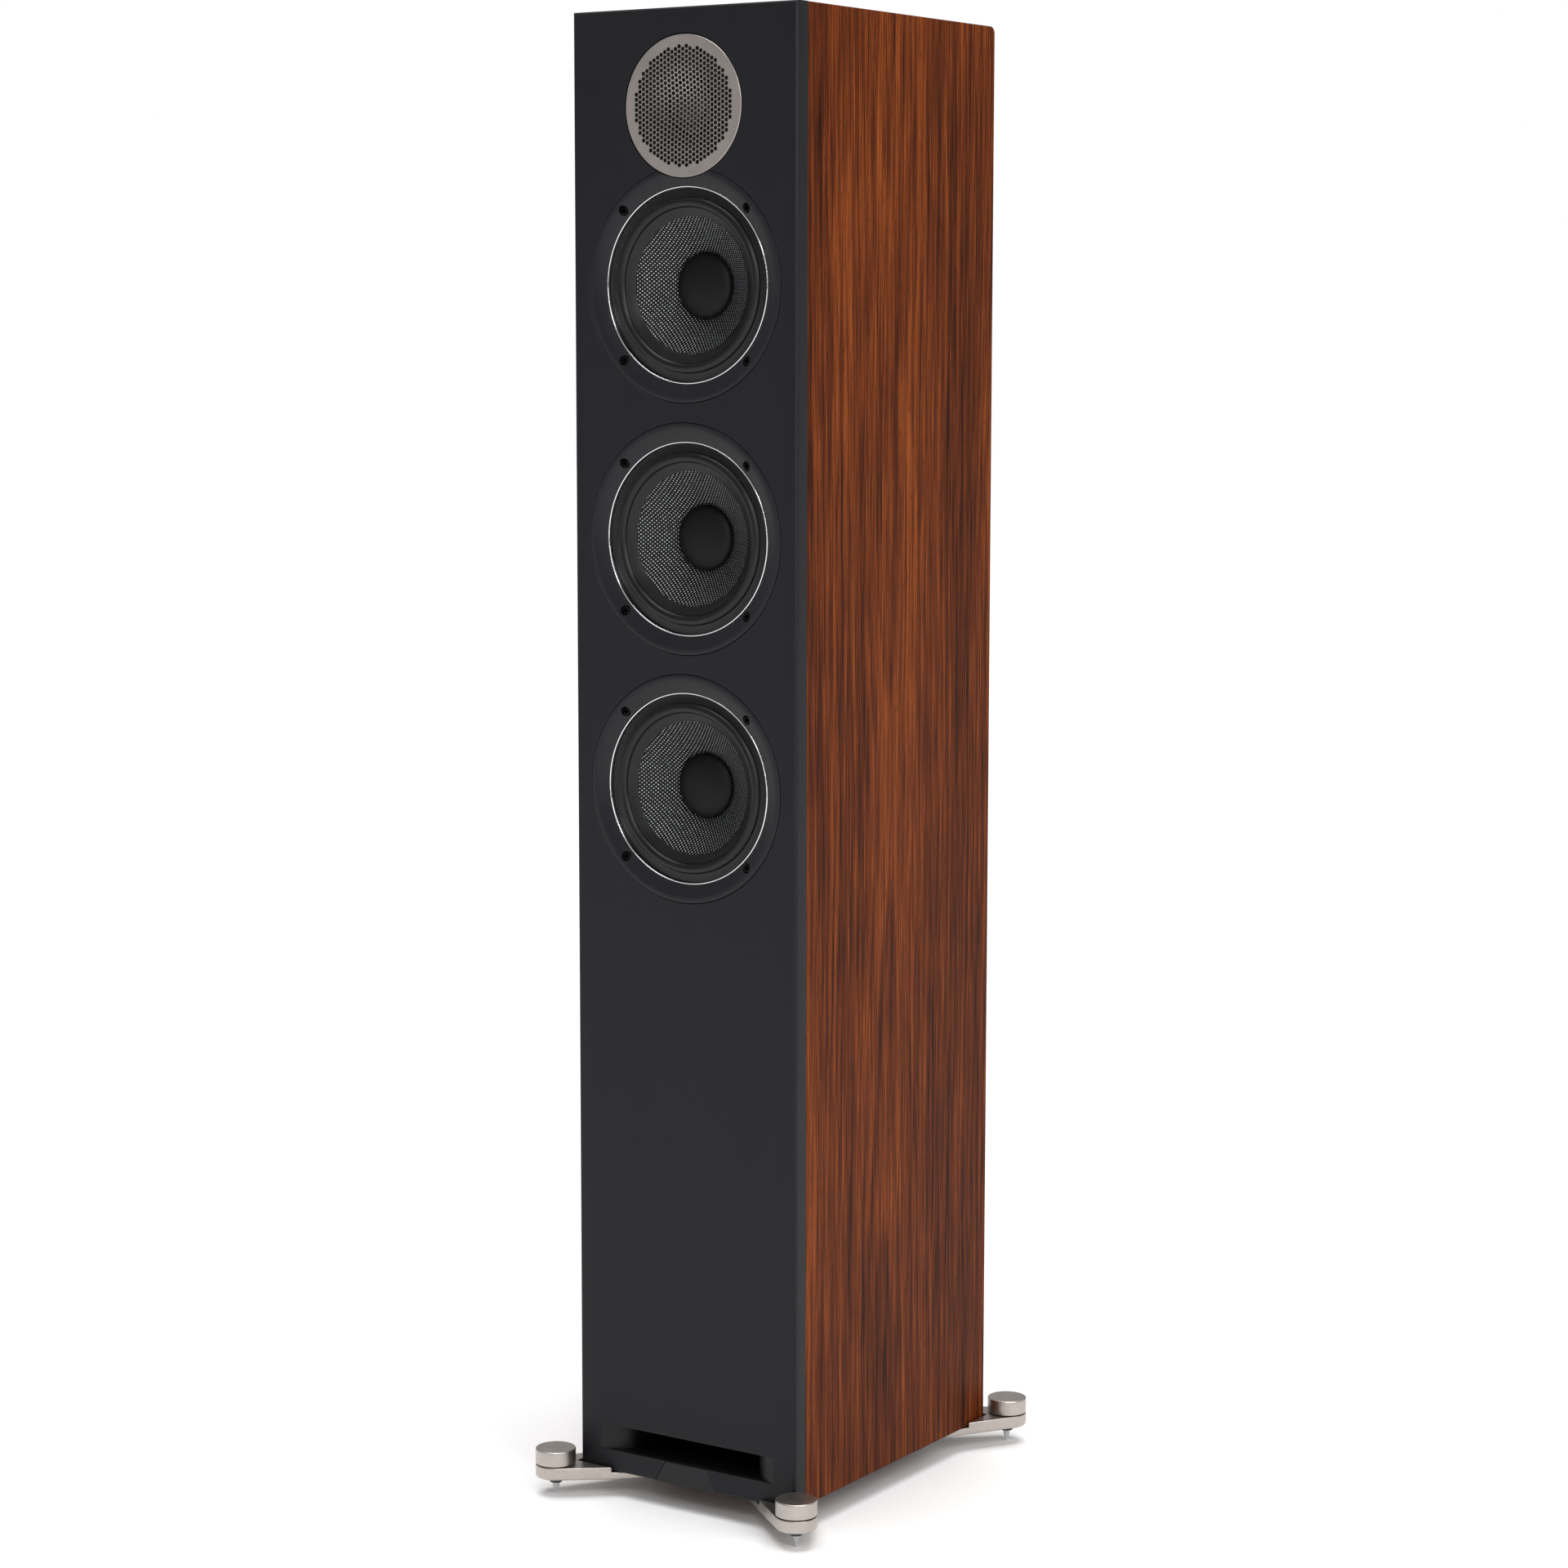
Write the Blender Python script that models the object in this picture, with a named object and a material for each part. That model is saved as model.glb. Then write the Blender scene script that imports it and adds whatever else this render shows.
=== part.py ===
"""Floorstanding loudspeaker: a slim three-woofer tower on four outrigger feet.

Metres, +Z up, the front faces -Y. The origin is on the floor under the middle of the cabinet.
Turned pieces are drawn as (radius, height) outlines: on a driver, height 0 is the front face of
the baffle and everything behind it is negative.
"""

import math

import bmesh
import bpy
from mathutils import Matrix

# ---- driving dimensions -------------------------------------------------------------------

CABINET_WIDTH = 0.180
CABINET_DEPTH = 0.250
CABINET_HEIGHT = 1.000
GROUND_CLEARANCE = 0.018

PANEL_THICKNESS = 0.012
BAFFLE_FACE_THICKNESS = 0.0125
BAFFLE_SPIGOT_DEPTH = 0.009
BAFFLE_EDGE_RADIUS = 0.0025
BRACE_THICKNESS = 0.012
BRACE_FRAME_WIDTH = 0.028

FIT_GAP = 0.0003
MITRE_GAP = 0.0005
CUT_OVERRUN = 0.004

# Woofers. The trim ring fills the baffle's width to within the side margin.
WOOFER_SIDE_MARGIN = 0.0128
WOOFER_SPACING_GAP = 0.0132
TRIM_FACE_WIDTH = 0.0133
TRIM_RIM_THICKNESS = 0.003
TRIM_RIM_OVERHANG = 0.003
TRIM_DISH_DEPTH = 0.004
TRIM_LIP_HEIGHT = 0.0025
TRIM_FLAT_WIDTH = 0.003
TRIM_LIP_WIDTH = 0.0012
TRIM_LIP_FALL = 0.0034
TRIM_SHOULDER_WIDTH = 0.003
TRIM_SHOULDER_FALL = 0.001
FLANGE_THICKNESS = 0.002
SURROUND_THICKNESS = 0.0007
SURROUND_LANDING_WIDTH = 0.0057
SURROUND_ROLL_RADIUS = 0.0034
SURROUND_GLUE_WIDTH = 0.006
SURROUND_CONE_LIFT = 0.0002
CONE_EDGE_INSET = 0.001
CONE_EDGE_DROP = 0.0004
CONE_SLOPE = 0.70
CONE_THICKNESS = 0.0014
DUST_CAP_RADIUS = 0.022
DUST_CAP_HEIGHT = 0.0065
DUST_CAP_THICKNESS = 0.0008
COIL_RADIUS = 0.0125
FORMER_THICKNESS = 0.0008
COIL_GAP = 0.0006
CONE_TRAVEL = 0.005
BASKET_WALL = 0.002
BASKET_WINDOW_WIDTH = 0.052
BASKET_MOUTH_GAP = 0.0006
SPIDER_THICKNESS = 0.0006
SPIDER_WAVE_HEIGHT = 0.0014
SPIDER_WAVES = 2
SPIDER_CLEARANCE = 0.0055
SPIDER_SHELF_WIDTH = 0.008
SPIDER_SHELF_OVERHANG = 0.005
SPIDER_INNER_GAP = 0.0009
SPIDER_LANDING_START = 0.0015
SPIDER_OUTER_GAP = 0.0008
MOTOR_OPENING_WIDTH = 0.0127
SPIDER_TO_MOTOR = 0.0117
MOTOR_PLATE_RADIUS = 0.040
MOTOR_PLATE_THICKNESS = 0.005
MAGNET_RADIUS = 0.043
MAGNET_HOLE_RADIUS = 0.0195
MAGNET_HEIGHT = 0.015
POLE_PROUD = 0.001

# Tweeter.
TWEETER_TOP_MARGIN = 0.064
TWEETER_RADIUS = 0.0465
TWEETER_RECESS_GAP = 0.0005
TRIM_OVERLAP = 0.0071
GRILLE_THICKNESS = 0.0012
GRILLE_FLAT_WIDTH = 0.0165
GRILLE_DISH_DEPTH = 0.0025
GRILLE_DISH_STEPS = 4
FACEPLATE_THICKNESS = 0.0035
FACEPLATE_RIM = 0.007
WAVEGUIDE_DEPTH = 0.0095
CHAMBER_MARGIN = 0.0085
DOME_RADIUS = 0.0124
DOME_HEIGHT = 0.0042
DOME_THICKNESS = 0.0005
DOME_SURROUND_WIDTH = 0.0036
DOME_SURROUND_HEIGHT = 0.001
DOME_RIM_RISE = 0.0012
THROAT_GAP = 0.0012
THROAT_DEPTH = 0.002
WAVEGUIDE_LIP_DEPTH = 0.001
TWEETER_MOTOR_GAP = 0.002
TWEETER_MAGNET_INSET = 0.002
TWEETER_PLATE_THICKNESS = 0.004
TWEETER_MAGNET_HEIGHT = 0.009
TWEETER_MAGNET_HOLE_WIDTH = 0.003

# Reflex slot, badge plate and duct.
SLOT_MOUTH_WIDTH = 0.149
SLOT_THROAT_WIDTH = 0.102
SLOT_HEIGHT = 0.018
DUCT_WALL = 0.0034
DUCT_LENGTH = 0.150
BADGE_TOP_WIDTH = 0.0345
BADGE_BOTTOM_WIDTH = 0.0525
BADGE_THICKNESS = 0.003

# Outrigger feet.
FOOT_SIDE_OUTSET = 0.0108
FOOT_END_OUTSET = 0.0150
KNOB_RADIUS = 0.0141
KNOB_HEIGHT = 0.0106
KNOB_GAP = 0.0008
KNOB_EDGE = 0.0006
ARM_THICKNESS = 0.009
ARM_RISE = 0.0035
ARM_LENGTH = 0.072
ARM_ANGLE = math.radians(48)
ARM_DIVERGENCE = math.radians(9)
ARM_LOWER_EDGE = 0.002
NOTCH_GAP = 0.002
STUD_RADIUS = 0.003
STUD_CLEARANCE = 0.0003
STUD_IN_KNOB = 0.0065
COLLAR_RADIUS = 0.0045
COLLAR_HEIGHT = 0.0044
COLLAR_LAP = 0.00225
SPIKE_TIP_RADIUS = 0.0008
WASHER_RADIUS = 0.011
WASHER_THICKNESS = 0.0008

# Rear terminals and crossover.
TERMINAL_HEIGHT = 0.230
CUP_WIDTH = 0.092
CUP_HEIGHT = 0.062
CUP_DEPTH = 0.020
CUP_WALL = 0.0025
CUP_FLANGE_WIDTH = 0.009
CUP_FLANGE_THICKNESS = 0.0022
CUP_CORNER_RADIUS = 0.008
POST_SPACING = 0.019
POST_RADIUS = 0.003
POST_BORE_RADIUS = 0.0021
POST_BASE_RADIUS = 0.007
POST_BASE_HEIGHT = 0.003
POST_LENGTH = 0.022
POST_TAIL = 0.014
POST_WASHER_RADIUS = 0.0066
POST_WASHER_THICKNESS = 0.001
CAP_RADIUS = 0.0072
CAP_HEIGHT = 0.0142
BOARD_WIDTH = 0.110
BOARD_HEIGHT = 0.090
BOARD_THICKNESS = 0.0016
BOARD_STANDOFF = 0.008
BOARD_ABOVE_CUP = 0.016
STANDOFF_RADIUS = 0.003
STANDOFF_INSET = 0.006
CHOKE_RADII = (0.020, 0.016)
CHOKE_HOLE_RADIUS = 0.008
CHOKE_HEIGHT = 0.016
CAPACITOR_RADIUS = 0.0075
CAPACITOR_LENGTH = 0.032
CAPACITOR_SPACING = 0.0165
CAPACITOR_SUNK = 0.001

SMOOTH_ANGLE = math.radians(32)
SIDES_WOOFER = 20
SIDES_TWEETER = 24
SIDES_KNOB = 20
SIDES_HIDDEN = 16
SIDES_STUD = 12
CORNER_STEPS = 3
FLARE_STEPS = 6

# ---- worked-out dimensions ----------------------------------------------------------------

HALF_WIDTH = CABINET_WIDTH / 2
HALF_DEPTH = CABINET_DEPTH / 2
INNER_HALF_WIDTH = HALF_WIDTH - PANEL_THICKNESS
BAFFLE_THICKNESS = BAFFLE_FACE_THICKNESS + BAFFLE_SPIGOT_DEPTH
SLEEVE_FRONT = -HALF_DEPTH + BAFFLE_FACE_THICKNESS + FIT_GAP
CAVITY_FRONT = -HALF_DEPTH + BAFFLE_THICKNESS + FIT_GAP
BACK_PANEL_FRONT = HALF_DEPTH - PANEL_THICKNESS
SLOT_FLOOR = PANEL_THICKNESS + FIT_GAP + DUCT_WALL

TRIM_RADIUS = HALF_WIDTH - WOOFER_SIDE_MARGIN
LIP_RADIUS = TRIM_RADIUS - TRIM_FACE_WIDTH
TWEETER_CENTRE = CABINET_HEIGHT - TWEETER_TOP_MARGIN
WOOFER_PITCH = 2 * TRIM_RADIUS + WOOFER_SPACING_GAP
GRILLE_DISH_RADIUS = TWEETER_RADIUS - GRILLE_FLAT_WIDTH
CHAMBER_RADIUS = TWEETER_RADIUS - CHAMBER_MARGIN
TWEETER_MOTOR_RADIUS = CHAMBER_RADIUS - TWEETER_MOTOR_GAP
TWEETER_MAGNET_RADIUS = TWEETER_MOTOR_RADIUS - TWEETER_MAGNET_INSET
UPPER_WOOFER_CENTRE = TWEETER_CENTRE - TWEETER_RADIUS - TRIM_RADIUS + TRIM_OVERLAP
WOOFER_CENTRES = {
    "woofer_upper": UPPER_WOOFER_CENTRE,
    "woofer_middle": UPPER_WOOFER_CENTRE - WOOFER_PITCH,
    "woofer_lower": UPPER_WOOFER_CENTRE - 2 * WOOFER_PITCH,
}

FLANGE_RADIUS = TRIM_RADIUS - TRIM_RIM_OVERHANG
TRIM_BACK = TRIM_DISH_DEPTH + TRIM_LIP_HEIGHT
FLANGE_FRONT = TRIM_BACK + FIT_GAP
FLANGE_BACK = FLANGE_FRONT + FLANGE_THICKNESS
LANDING_OUTER = LIP_RADIUS - FIT_GAP
ROLL_OUTER = LANDING_OUTER - SURROUND_LANDING_WIDTH
ROLL_CENTRE = ROLL_OUTER - SURROUND_ROLL_RADIUS
ROLL_INNER = ROLL_CENTRE - SURROUND_ROLL_RADIUS
SURROUND_DEPTH = FLANGE_FRONT - FIT_GAP - SURROUND_THICKNESS / 2
CONE_RADIUS = ROLL_INNER - CONE_EDGE_INSET
CONE_EDGE_DEPTH = SURROUND_DEPTH + SURROUND_THICKNESS / 2 + FIT_GAP + CONE_EDGE_DROP
BASKET_MOUTH_RADIUS = ROLL_OUTER + BASKET_MOUTH_GAP
FORMER_OUTER = COIL_RADIUS + FORMER_THICKNESS
CONE_NECK_DEPTH = CONE_EDGE_DEPTH + (CONE_RADIUS - COIL_RADIUS) * CONE_SLOPE
SPIDER_DEPTH = CONE_NECK_DEPTH + SPIDER_CLEARANCE
SHELF_DEPTH = SPIDER_DEPTH + SPIDER_THICKNESS / 2 + FIT_GAP
SHELF_OUTER = MOTOR_PLATE_RADIUS + SPIDER_SHELF_OVERHANG
SHELF_INNER = SHELF_OUTER - SPIDER_SHELF_WIDTH
MOTOR_FRONT = SHELF_DEPTH + SPIDER_TO_MOTOR + BASKET_WALL + FIT_GAP
MAGNET_FRONT = MOTOR_FRONT + MOTOR_PLATE_THICKNESS
MAGNET_BACK = MAGNET_FRONT + MAGNET_HEIGHT
MOTOR_BACK = MAGNET_BACK + MOTOR_PLATE_THICKNESS
FORMER_END = MAGNET_FRONT + CONE_TRAVEL

GRILLE_BACK = GRILLE_THICKNESS + FIT_GAP
FACEPLATE_BACK = GRILLE_BACK + FACEPLATE_THICKNESS
CHAMBER_BACK = GRILLE_BACK + WAVEGUIDE_DEPTH
TWEETER_MOTOR_FRONT = CHAMBER_BACK + FIT_GAP
THROAT_RADIUS = DOME_RADIUS + DOME_SURROUND_WIDTH + THROAT_GAP
DOME_RIM_DEPTH = CHAMBER_BACK - DOME_RIM_RISE

ARM_TOP = ARM_RISE
ARM_BOTTOM = ARM_RISE - ARM_THICKNESS
KNOB_BOTTOM = ARM_TOP + KNOB_GAP
KNOB_TOP = KNOB_BOTTOM + KNOB_HEIGHT
COLLAR_BOTTOM = ARM_BOTTOM - COLLAR_HEIGHT
STUD_BORE_RADIUS = STUD_RADIUS + STUD_CLEARANCE
FEET = {
    "foot_front_left": (-1, -1),
    "foot_front_right": (1, -1),
    "foot_rear_left": (-1, 1),
    "foot_rear_right": (1, 1),
}


# ---- modelling tools ----------------------------------------------------------------------


def clear_scene():
    """Remove every object of the startup scene."""
    for obj in list(bpy.data.objects):
        bpy.data.objects.remove(obj, do_unlink=True)


def finish(name, colour, roughness, metallic=0.0):
    """A Principled BSDF material."""
    material = bpy.data.materials.new(name)
    material.use_nodes = True
    shader = material.node_tree.nodes["Principled BSDF"]
    shader.inputs["Base Color"].default_value = (*colour, 1.0)
    shader.inputs["Roughness"].default_value = roughness
    shader.inputs["Metallic"].default_value = metallic
    material.diffuse_color = (*colour, 1.0)
    return material


def place(bm, name, material, parent=None, location=(0, 0, 0), rotation=(0, 0, 0)):
    """Turn a bmesh into a named object of the scene."""
    bmesh.ops.recalc_face_normals(bm, faces=bm.faces)
    mesh = bpy.data.meshes.new(name)
    bm.to_mesh(mesh)
    bm.free()
    mesh.shade_smooth()
    mesh.set_sharp_from_angle(angle=SMOOTH_ANGLE)
    obj = bpy.data.objects.new(name, mesh)
    if material is not None:
        mesh.materials.append(material)
    obj.location = location
    obj.rotation_euler = rotation
    obj.parent = parent
    bpy.context.scene.collection.objects.link(obj)
    return obj


def helper(bm, name, parent=None, location=(0, 0, 0), rotation=(0, 0, 0)):
    """A cutter, or a shape that is joined to a piece: never a piece itself."""
    obj = place(bm, name, None, parent, location, rotation)
    obj.hide_render = True
    obj.display_type = "WIRE"
    return obj


def empty(name, parent=None, location=(0, 0, 0), rotation=(0, 0, 0)):
    """An empty that holds the pieces of a sub-assembly."""
    obj = bpy.data.objects.new(name, None)
    obj.location = location
    obj.rotation_euler = rotation
    obj.parent = parent
    bpy.context.scene.collection.objects.link(obj)
    return obj


def combine(obj, other, operation="DIFFERENCE"):
    """Cut a helper from an object, or join it with operation UNION."""
    modifier = obj.modifiers.new(other.name, "BOOLEAN")
    modifier.operation = operation
    modifier.solver = "EXACT"
    modifier.object = other


def block(low, high):
    """A box between two opposite corners."""
    middle = [(a + b) / 2 for a, b in zip(low, high)]
    size = [b - a for a, b in zip(low, high)]
    bm = bmesh.new()
    matrix = Matrix.Translation(middle) @ Matrix.Diagonal((*size, 1.0))
    bmesh.ops.create_cube(bm, size=1.0, matrix=matrix)
    return bm


def turned(outline, sides=SIDES_WOOFER):
    """A solid of revolution about Z from a (radius, height) outline.

    An outline that starts and ends on the axis makes a solid piece, any other one a ring.
    """
    bm = bmesh.new()
    verts = [bm.verts.new((radius, 0.0, height)) for radius, height in outline]
    edges = [bm.edges.new(pair) for pair in zip(verts, verts[1:])]
    if outline[0][0] > 0.0:
        edges.append(bm.edges.new((verts[-1], verts[0])))
    bmesh.ops.spin(
        bm, geom=verts + edges, cent=(0, 0, 0), axis=(0, 0, 1), angle=math.tau, steps=sides,
        use_merge=True,
    )
    bmesh.ops.remove_doubles(bm, verts=bm.verts, dist=1e-6)
    return bm


def sheet_outline(path, thickness):
    """The closed outline of a thin sheet whose middle line is a (radius, height) path."""
    front, back = [], []
    for index, (radius, height) in enumerate(path):
        before = path[max(index - 1, 0)]
        after = path[min(index + 1, len(path) - 1)]
        along = math.atan2(after[1] - before[1], after[0] - before[0])
        if radius == 0.0:
            along = 0.0 if after[0] > before[0] else math.pi
        across = (-math.sin(along) * thickness / 2, math.cos(along) * thickness / 2)
        front.append((radius + across[0], height + across[1]))
        back.append((radius - across[0], height - across[1]))
    return front + back[::-1]


def prism(outline, bottom, top):
    """A solid with a flat (x, y) outline between two heights."""
    bm = bmesh.new()
    face = bm.faces.new([bm.verts.new((x, y, bottom)) for x, y in outline])
    lifted = bmesh.ops.extrude_face_region(bm, geom=[face])["geom"]
    verts = [item for item in lifted if isinstance(item, bmesh.types.BMVert)]
    bmesh.ops.translate(bm, vec=(0, 0, top - bottom), verts=verts)
    return bm


def arc(centre, radii, start, end, steps):
    """Points on an ellipse's arc, from one angle to another in degrees."""
    angles = [math.radians(start + (end - start) * step / steps) for step in range(steps + 1)]
    return [
        (centre[0] + radii[0] * math.cos(angle), centre[1] + radii[1] * math.sin(angle))
        for angle in angles
    ]


def rounded_rectangle(width, height, radius):
    """The outline of a rectangle with round corners, centred on the origin."""
    corners = ((1, 1, 0), (-1, 1, 90), (-1, -1, 180), (1, -1, 270))
    outline = []
    for side_x, side_y, start in corners:
        centre = (side_x * (width / 2 - radius), side_y * (height / 2 - radius))
        outline += arc(centre, (radius, radius), start, start + 90, CORNER_STEPS)
    return outline


# ---- finishes -----------------------------------------------------------------------------


def make_finishes():
    """Every material of the speaker by the name of its finish."""
    return {
        "walnut": finish("walnut_vinyl", (0.19, 0.062, 0.026), 0.45),
        "black_vinyl": finish("black_vinyl", (0.018, 0.018, 0.019), 0.6),
        "board": finish("bare_fibreboard", (0.33, 0.22, 0.12), 0.85),
        "baffle": finish("satin_charcoal", (0.026, 0.024, 0.027), 0.38),
        "trim": finish("satin_trim", (0.028, 0.026, 0.029), 0.4),
        "port": finish("black_plastic", (0.01, 0.01, 0.01), 0.5),
        "basket": finish("black_enamel", (0.015, 0.015, 0.015), 0.45),
        "motor": finish("motor_steel", (0.1, 0.1, 0.105), 0.5, 0.6),
        "spider": finish("spider_cloth", (0.36, 0.25, 0.1), 0.9),
        "surround": finish("surround_rubber", (0.013, 0.013, 0.014), 0.45),
        "cone": finish("woven_cone", (0.09, 0.09, 0.092), 0.35),
        "cap": finish("dust_cap", (0.012, 0.012, 0.013), 0.7),
        "nickel": finish("satin_nickel", (0.56, 0.53, 0.49), 0.32, 1.0),
        "dome": finish("dome_cloth", (0.02, 0.02, 0.022), 0.7),
        "chrome": finish("spike_chrome", (0.75, 0.75, 0.76), 0.08, 1.0),
        "washer": finish("black_washer", (0.012, 0.012, 0.012), 0.6),
        "brass": finish("gilt_brass", (0.8, 0.55, 0.2), 0.25, 1.0),
        "cap_plastic": finish("terminal_plastic", (0.02, 0.02, 0.02), 0.3),
        "circuit": finish("circuit_board", (0.03, 0.12, 0.05), 0.5),
    }


# ---- cabinet ------------------------------------------------------------------------------


def build_sleeve(cabinet, finishes):
    """The mitred walnut sleeve: two sides, top and bottom, each a separate panel."""
    outer, inner = HALF_WIDTH, INNER_HALF_WIDTH
    top, under_top = CABINET_HEIGHT, CABINET_HEIGHT - PANEL_THICKNESS
    low, high = MITRE_GAP, CABINET_HEIGHT - MITRE_GAP
    inner_low, inner_high = PANEL_THICKNESS + MITRE_GAP, under_top - MITRE_GAP
    panels = {
        "side_panel_left": [(-outer, low), (-inner, inner_low), (-inner, inner_high), (-outer, high)],
        "side_panel_right": [(outer, low), (outer, high), (inner, inner_high), (inner, inner_low)],
        "top_panel": [(-outer, top), (-inner, under_top), (inner, under_top), (outer, top)],
        "bottom_panel": [(-outer, 0.0), (outer, 0.0), (inner, PANEL_THICKNESS), (-inner, PANEL_THICKNESS)],
    }
    for name, outline in panels.items():
        # The outline is drawn in X and Z, so the prism is laid over with its length along -Y.
        panel = prism(outline, -HALF_DEPTH, -SLEEVE_FRONT)
        place(panel, name, finishes["walnut"], cabinet, rotation=(math.pi / 2, 0, 0))


def baffle_blank():
    """The baffle before its holes: a face slab with rounded edges, and a spigot behind it."""
    bm = block((-HALF_WIDTH, -HALF_DEPTH, 0.0),
               (HALF_WIDTH, -HALF_DEPTH + BAFFLE_FACE_THICKNESS, CABINET_HEIGHT))
    back = max(bm.faces, key=lambda face: face.calc_center_median().y)
    border = PANEL_THICKNESS + FIT_GAP
    bmesh.ops.inset_individual(bm, faces=[back], thickness=border, use_even_offset=True)
    spigot = bmesh.ops.extrude_discrete_faces(bm, faces=[back])["faces"][0]
    bmesh.ops.translate(bm, vec=(0, BAFFLE_SPIGOT_DEPTH, 0), verts=spigot.verts)
    front_edges = [
        edge for edge in bm.edges
        if all(vert.co.y < -HALF_DEPTH + FIT_GAP for vert in edge.verts)
    ]
    bmesh.ops.bevel(
        bm, geom=front_edges, offset=BAFFLE_EDGE_RADIUS, segments=2, profile=0.5, affect="EDGES",
    )
    return bm


def slot_cutter():
    """The reflex slot's air space: flared at both ends towards the front, straight behind."""
    front = -HALF_DEPTH
    mouth, throat = SLOT_MOUTH_WIDTH / 2, SLOT_THROAT_WIDTH / 2
    radii = (mouth - throat, BAFFLE_THICKNESS)
    # Each flare is a quarter of an ellipse centred beside the mouth, at the baffle's back.
    right = arc((mouth, front + BAFFLE_THICKNESS), radii, 270, 180, FLARE_STEPS)
    left = [(-x, y) for x, y in reversed(right)]
    back = front + BAFFLE_THICKNESS + CUT_OVERRUN
    before = front - CUT_OVERRUN
    outline = [(-mouth, before), (mouth, before)] + right
    outline += [(throat, back), (-throat, back)] + left
    return prism(outline, SLOT_FLOOR, SLOT_FLOOR + SLOT_HEIGHT)


def badge_outline(low, high, gap=0.0):
    """The badge's (x, z) outline between two heights, its slanted sides moved out by a gap."""
    slope = (BADGE_BOTTOM_WIDTH - BADGE_TOP_WIDTH) / 2 / SLOT_FLOOR
    half_low = BADGE_TOP_WIDTH / 2 + slope * (SLOT_FLOOR - low) + gap
    half_high = BADGE_TOP_WIDTH / 2 + slope * (SLOT_FLOOR - high) + gap
    return [(-half_low, low), (half_low, low), (half_high, high), (-half_high, high)]


def build_baffle(cabinet, finishes):
    """The front baffle with its driver holes, slot and badge recess, and the badge plate."""
    baffle = place(baffle_blank(), "front_baffle", finishes["baffle"], cabinet)
    upright = (math.pi / 2, 0, 0)
    through = BAFFLE_THICKNESS + CUT_OVERRUN
    woofer_hole = [
        (0.0, CUT_OVERRUN),
        (TRIM_RADIUS + FIT_GAP, CUT_OVERRUN),
        (TRIM_RADIUS + FIT_GAP, -TRIM_RIM_THICKNESS - FIT_GAP),
        (FLANGE_RADIUS + FIT_GAP, -TRIM_RIM_THICKNESS - FIT_GAP),
        (FLANGE_RADIUS + FIT_GAP, -FLANGE_BACK - FIT_GAP),
        (BASKET_MOUTH_RADIUS + BASKET_WALL + 3 * FIT_GAP, -FLANGE_BACK - FIT_GAP),
        (BASKET_MOUTH_RADIUS + BASKET_WALL + 3 * FIT_GAP, -through),
        (0.0, -through),
    ]
    for name, centre in WOOFER_CENTRES.items():
        cutter = helper(
            turned(woofer_hole), name + "_hole", cabinet, (0, -HALF_DEPTH, centre), upright,
        )
        combine(baffle, cutter)
    tweeter_hole = [
        (0.0, CUT_OVERRUN),
        (TWEETER_RADIUS + TWEETER_RECESS_GAP, CUT_OVERRUN),
        (TWEETER_RADIUS + TWEETER_RECESS_GAP, -FACEPLATE_BACK - FIT_GAP),
        (CHAMBER_RADIUS + TWEETER_RECESS_GAP, -FACEPLATE_BACK - FIT_GAP),
        (CHAMBER_RADIUS + TWEETER_RECESS_GAP, -through),
        (0.0, -through),
    ]
    cutter = helper(
        turned(tweeter_hole, SIDES_TWEETER), "tweeter_hole", cabinet,
        (0, -HALF_DEPTH, TWEETER_CENTRE), upright,
    )
    combine(baffle, cutter)
    combine(baffle, helper(slot_cutter(), "slot_air", cabinet))
    # Both outlines are drawn in X and Z and extruded towards -Y, like the sleeve's panels.
    depth = HALF_DEPTH - BADGE_THICKNESS
    recess = badge_outline(-CUT_OVERRUN, SLOT_FLOOR + CUT_OVERRUN, FIT_GAP)
    recess = prism(recess, depth - FIT_GAP, HALF_DEPTH + CUT_OVERRUN)
    combine(baffle, helper(recess, "badge_recess", cabinet, rotation=upright))
    badge = prism(badge_outline(FIT_GAP, SLOT_FLOOR - FIT_GAP), depth, HALF_DEPTH)
    place(badge, "badge_plate", finishes["trim"], cabinet, rotation=upright)


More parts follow.
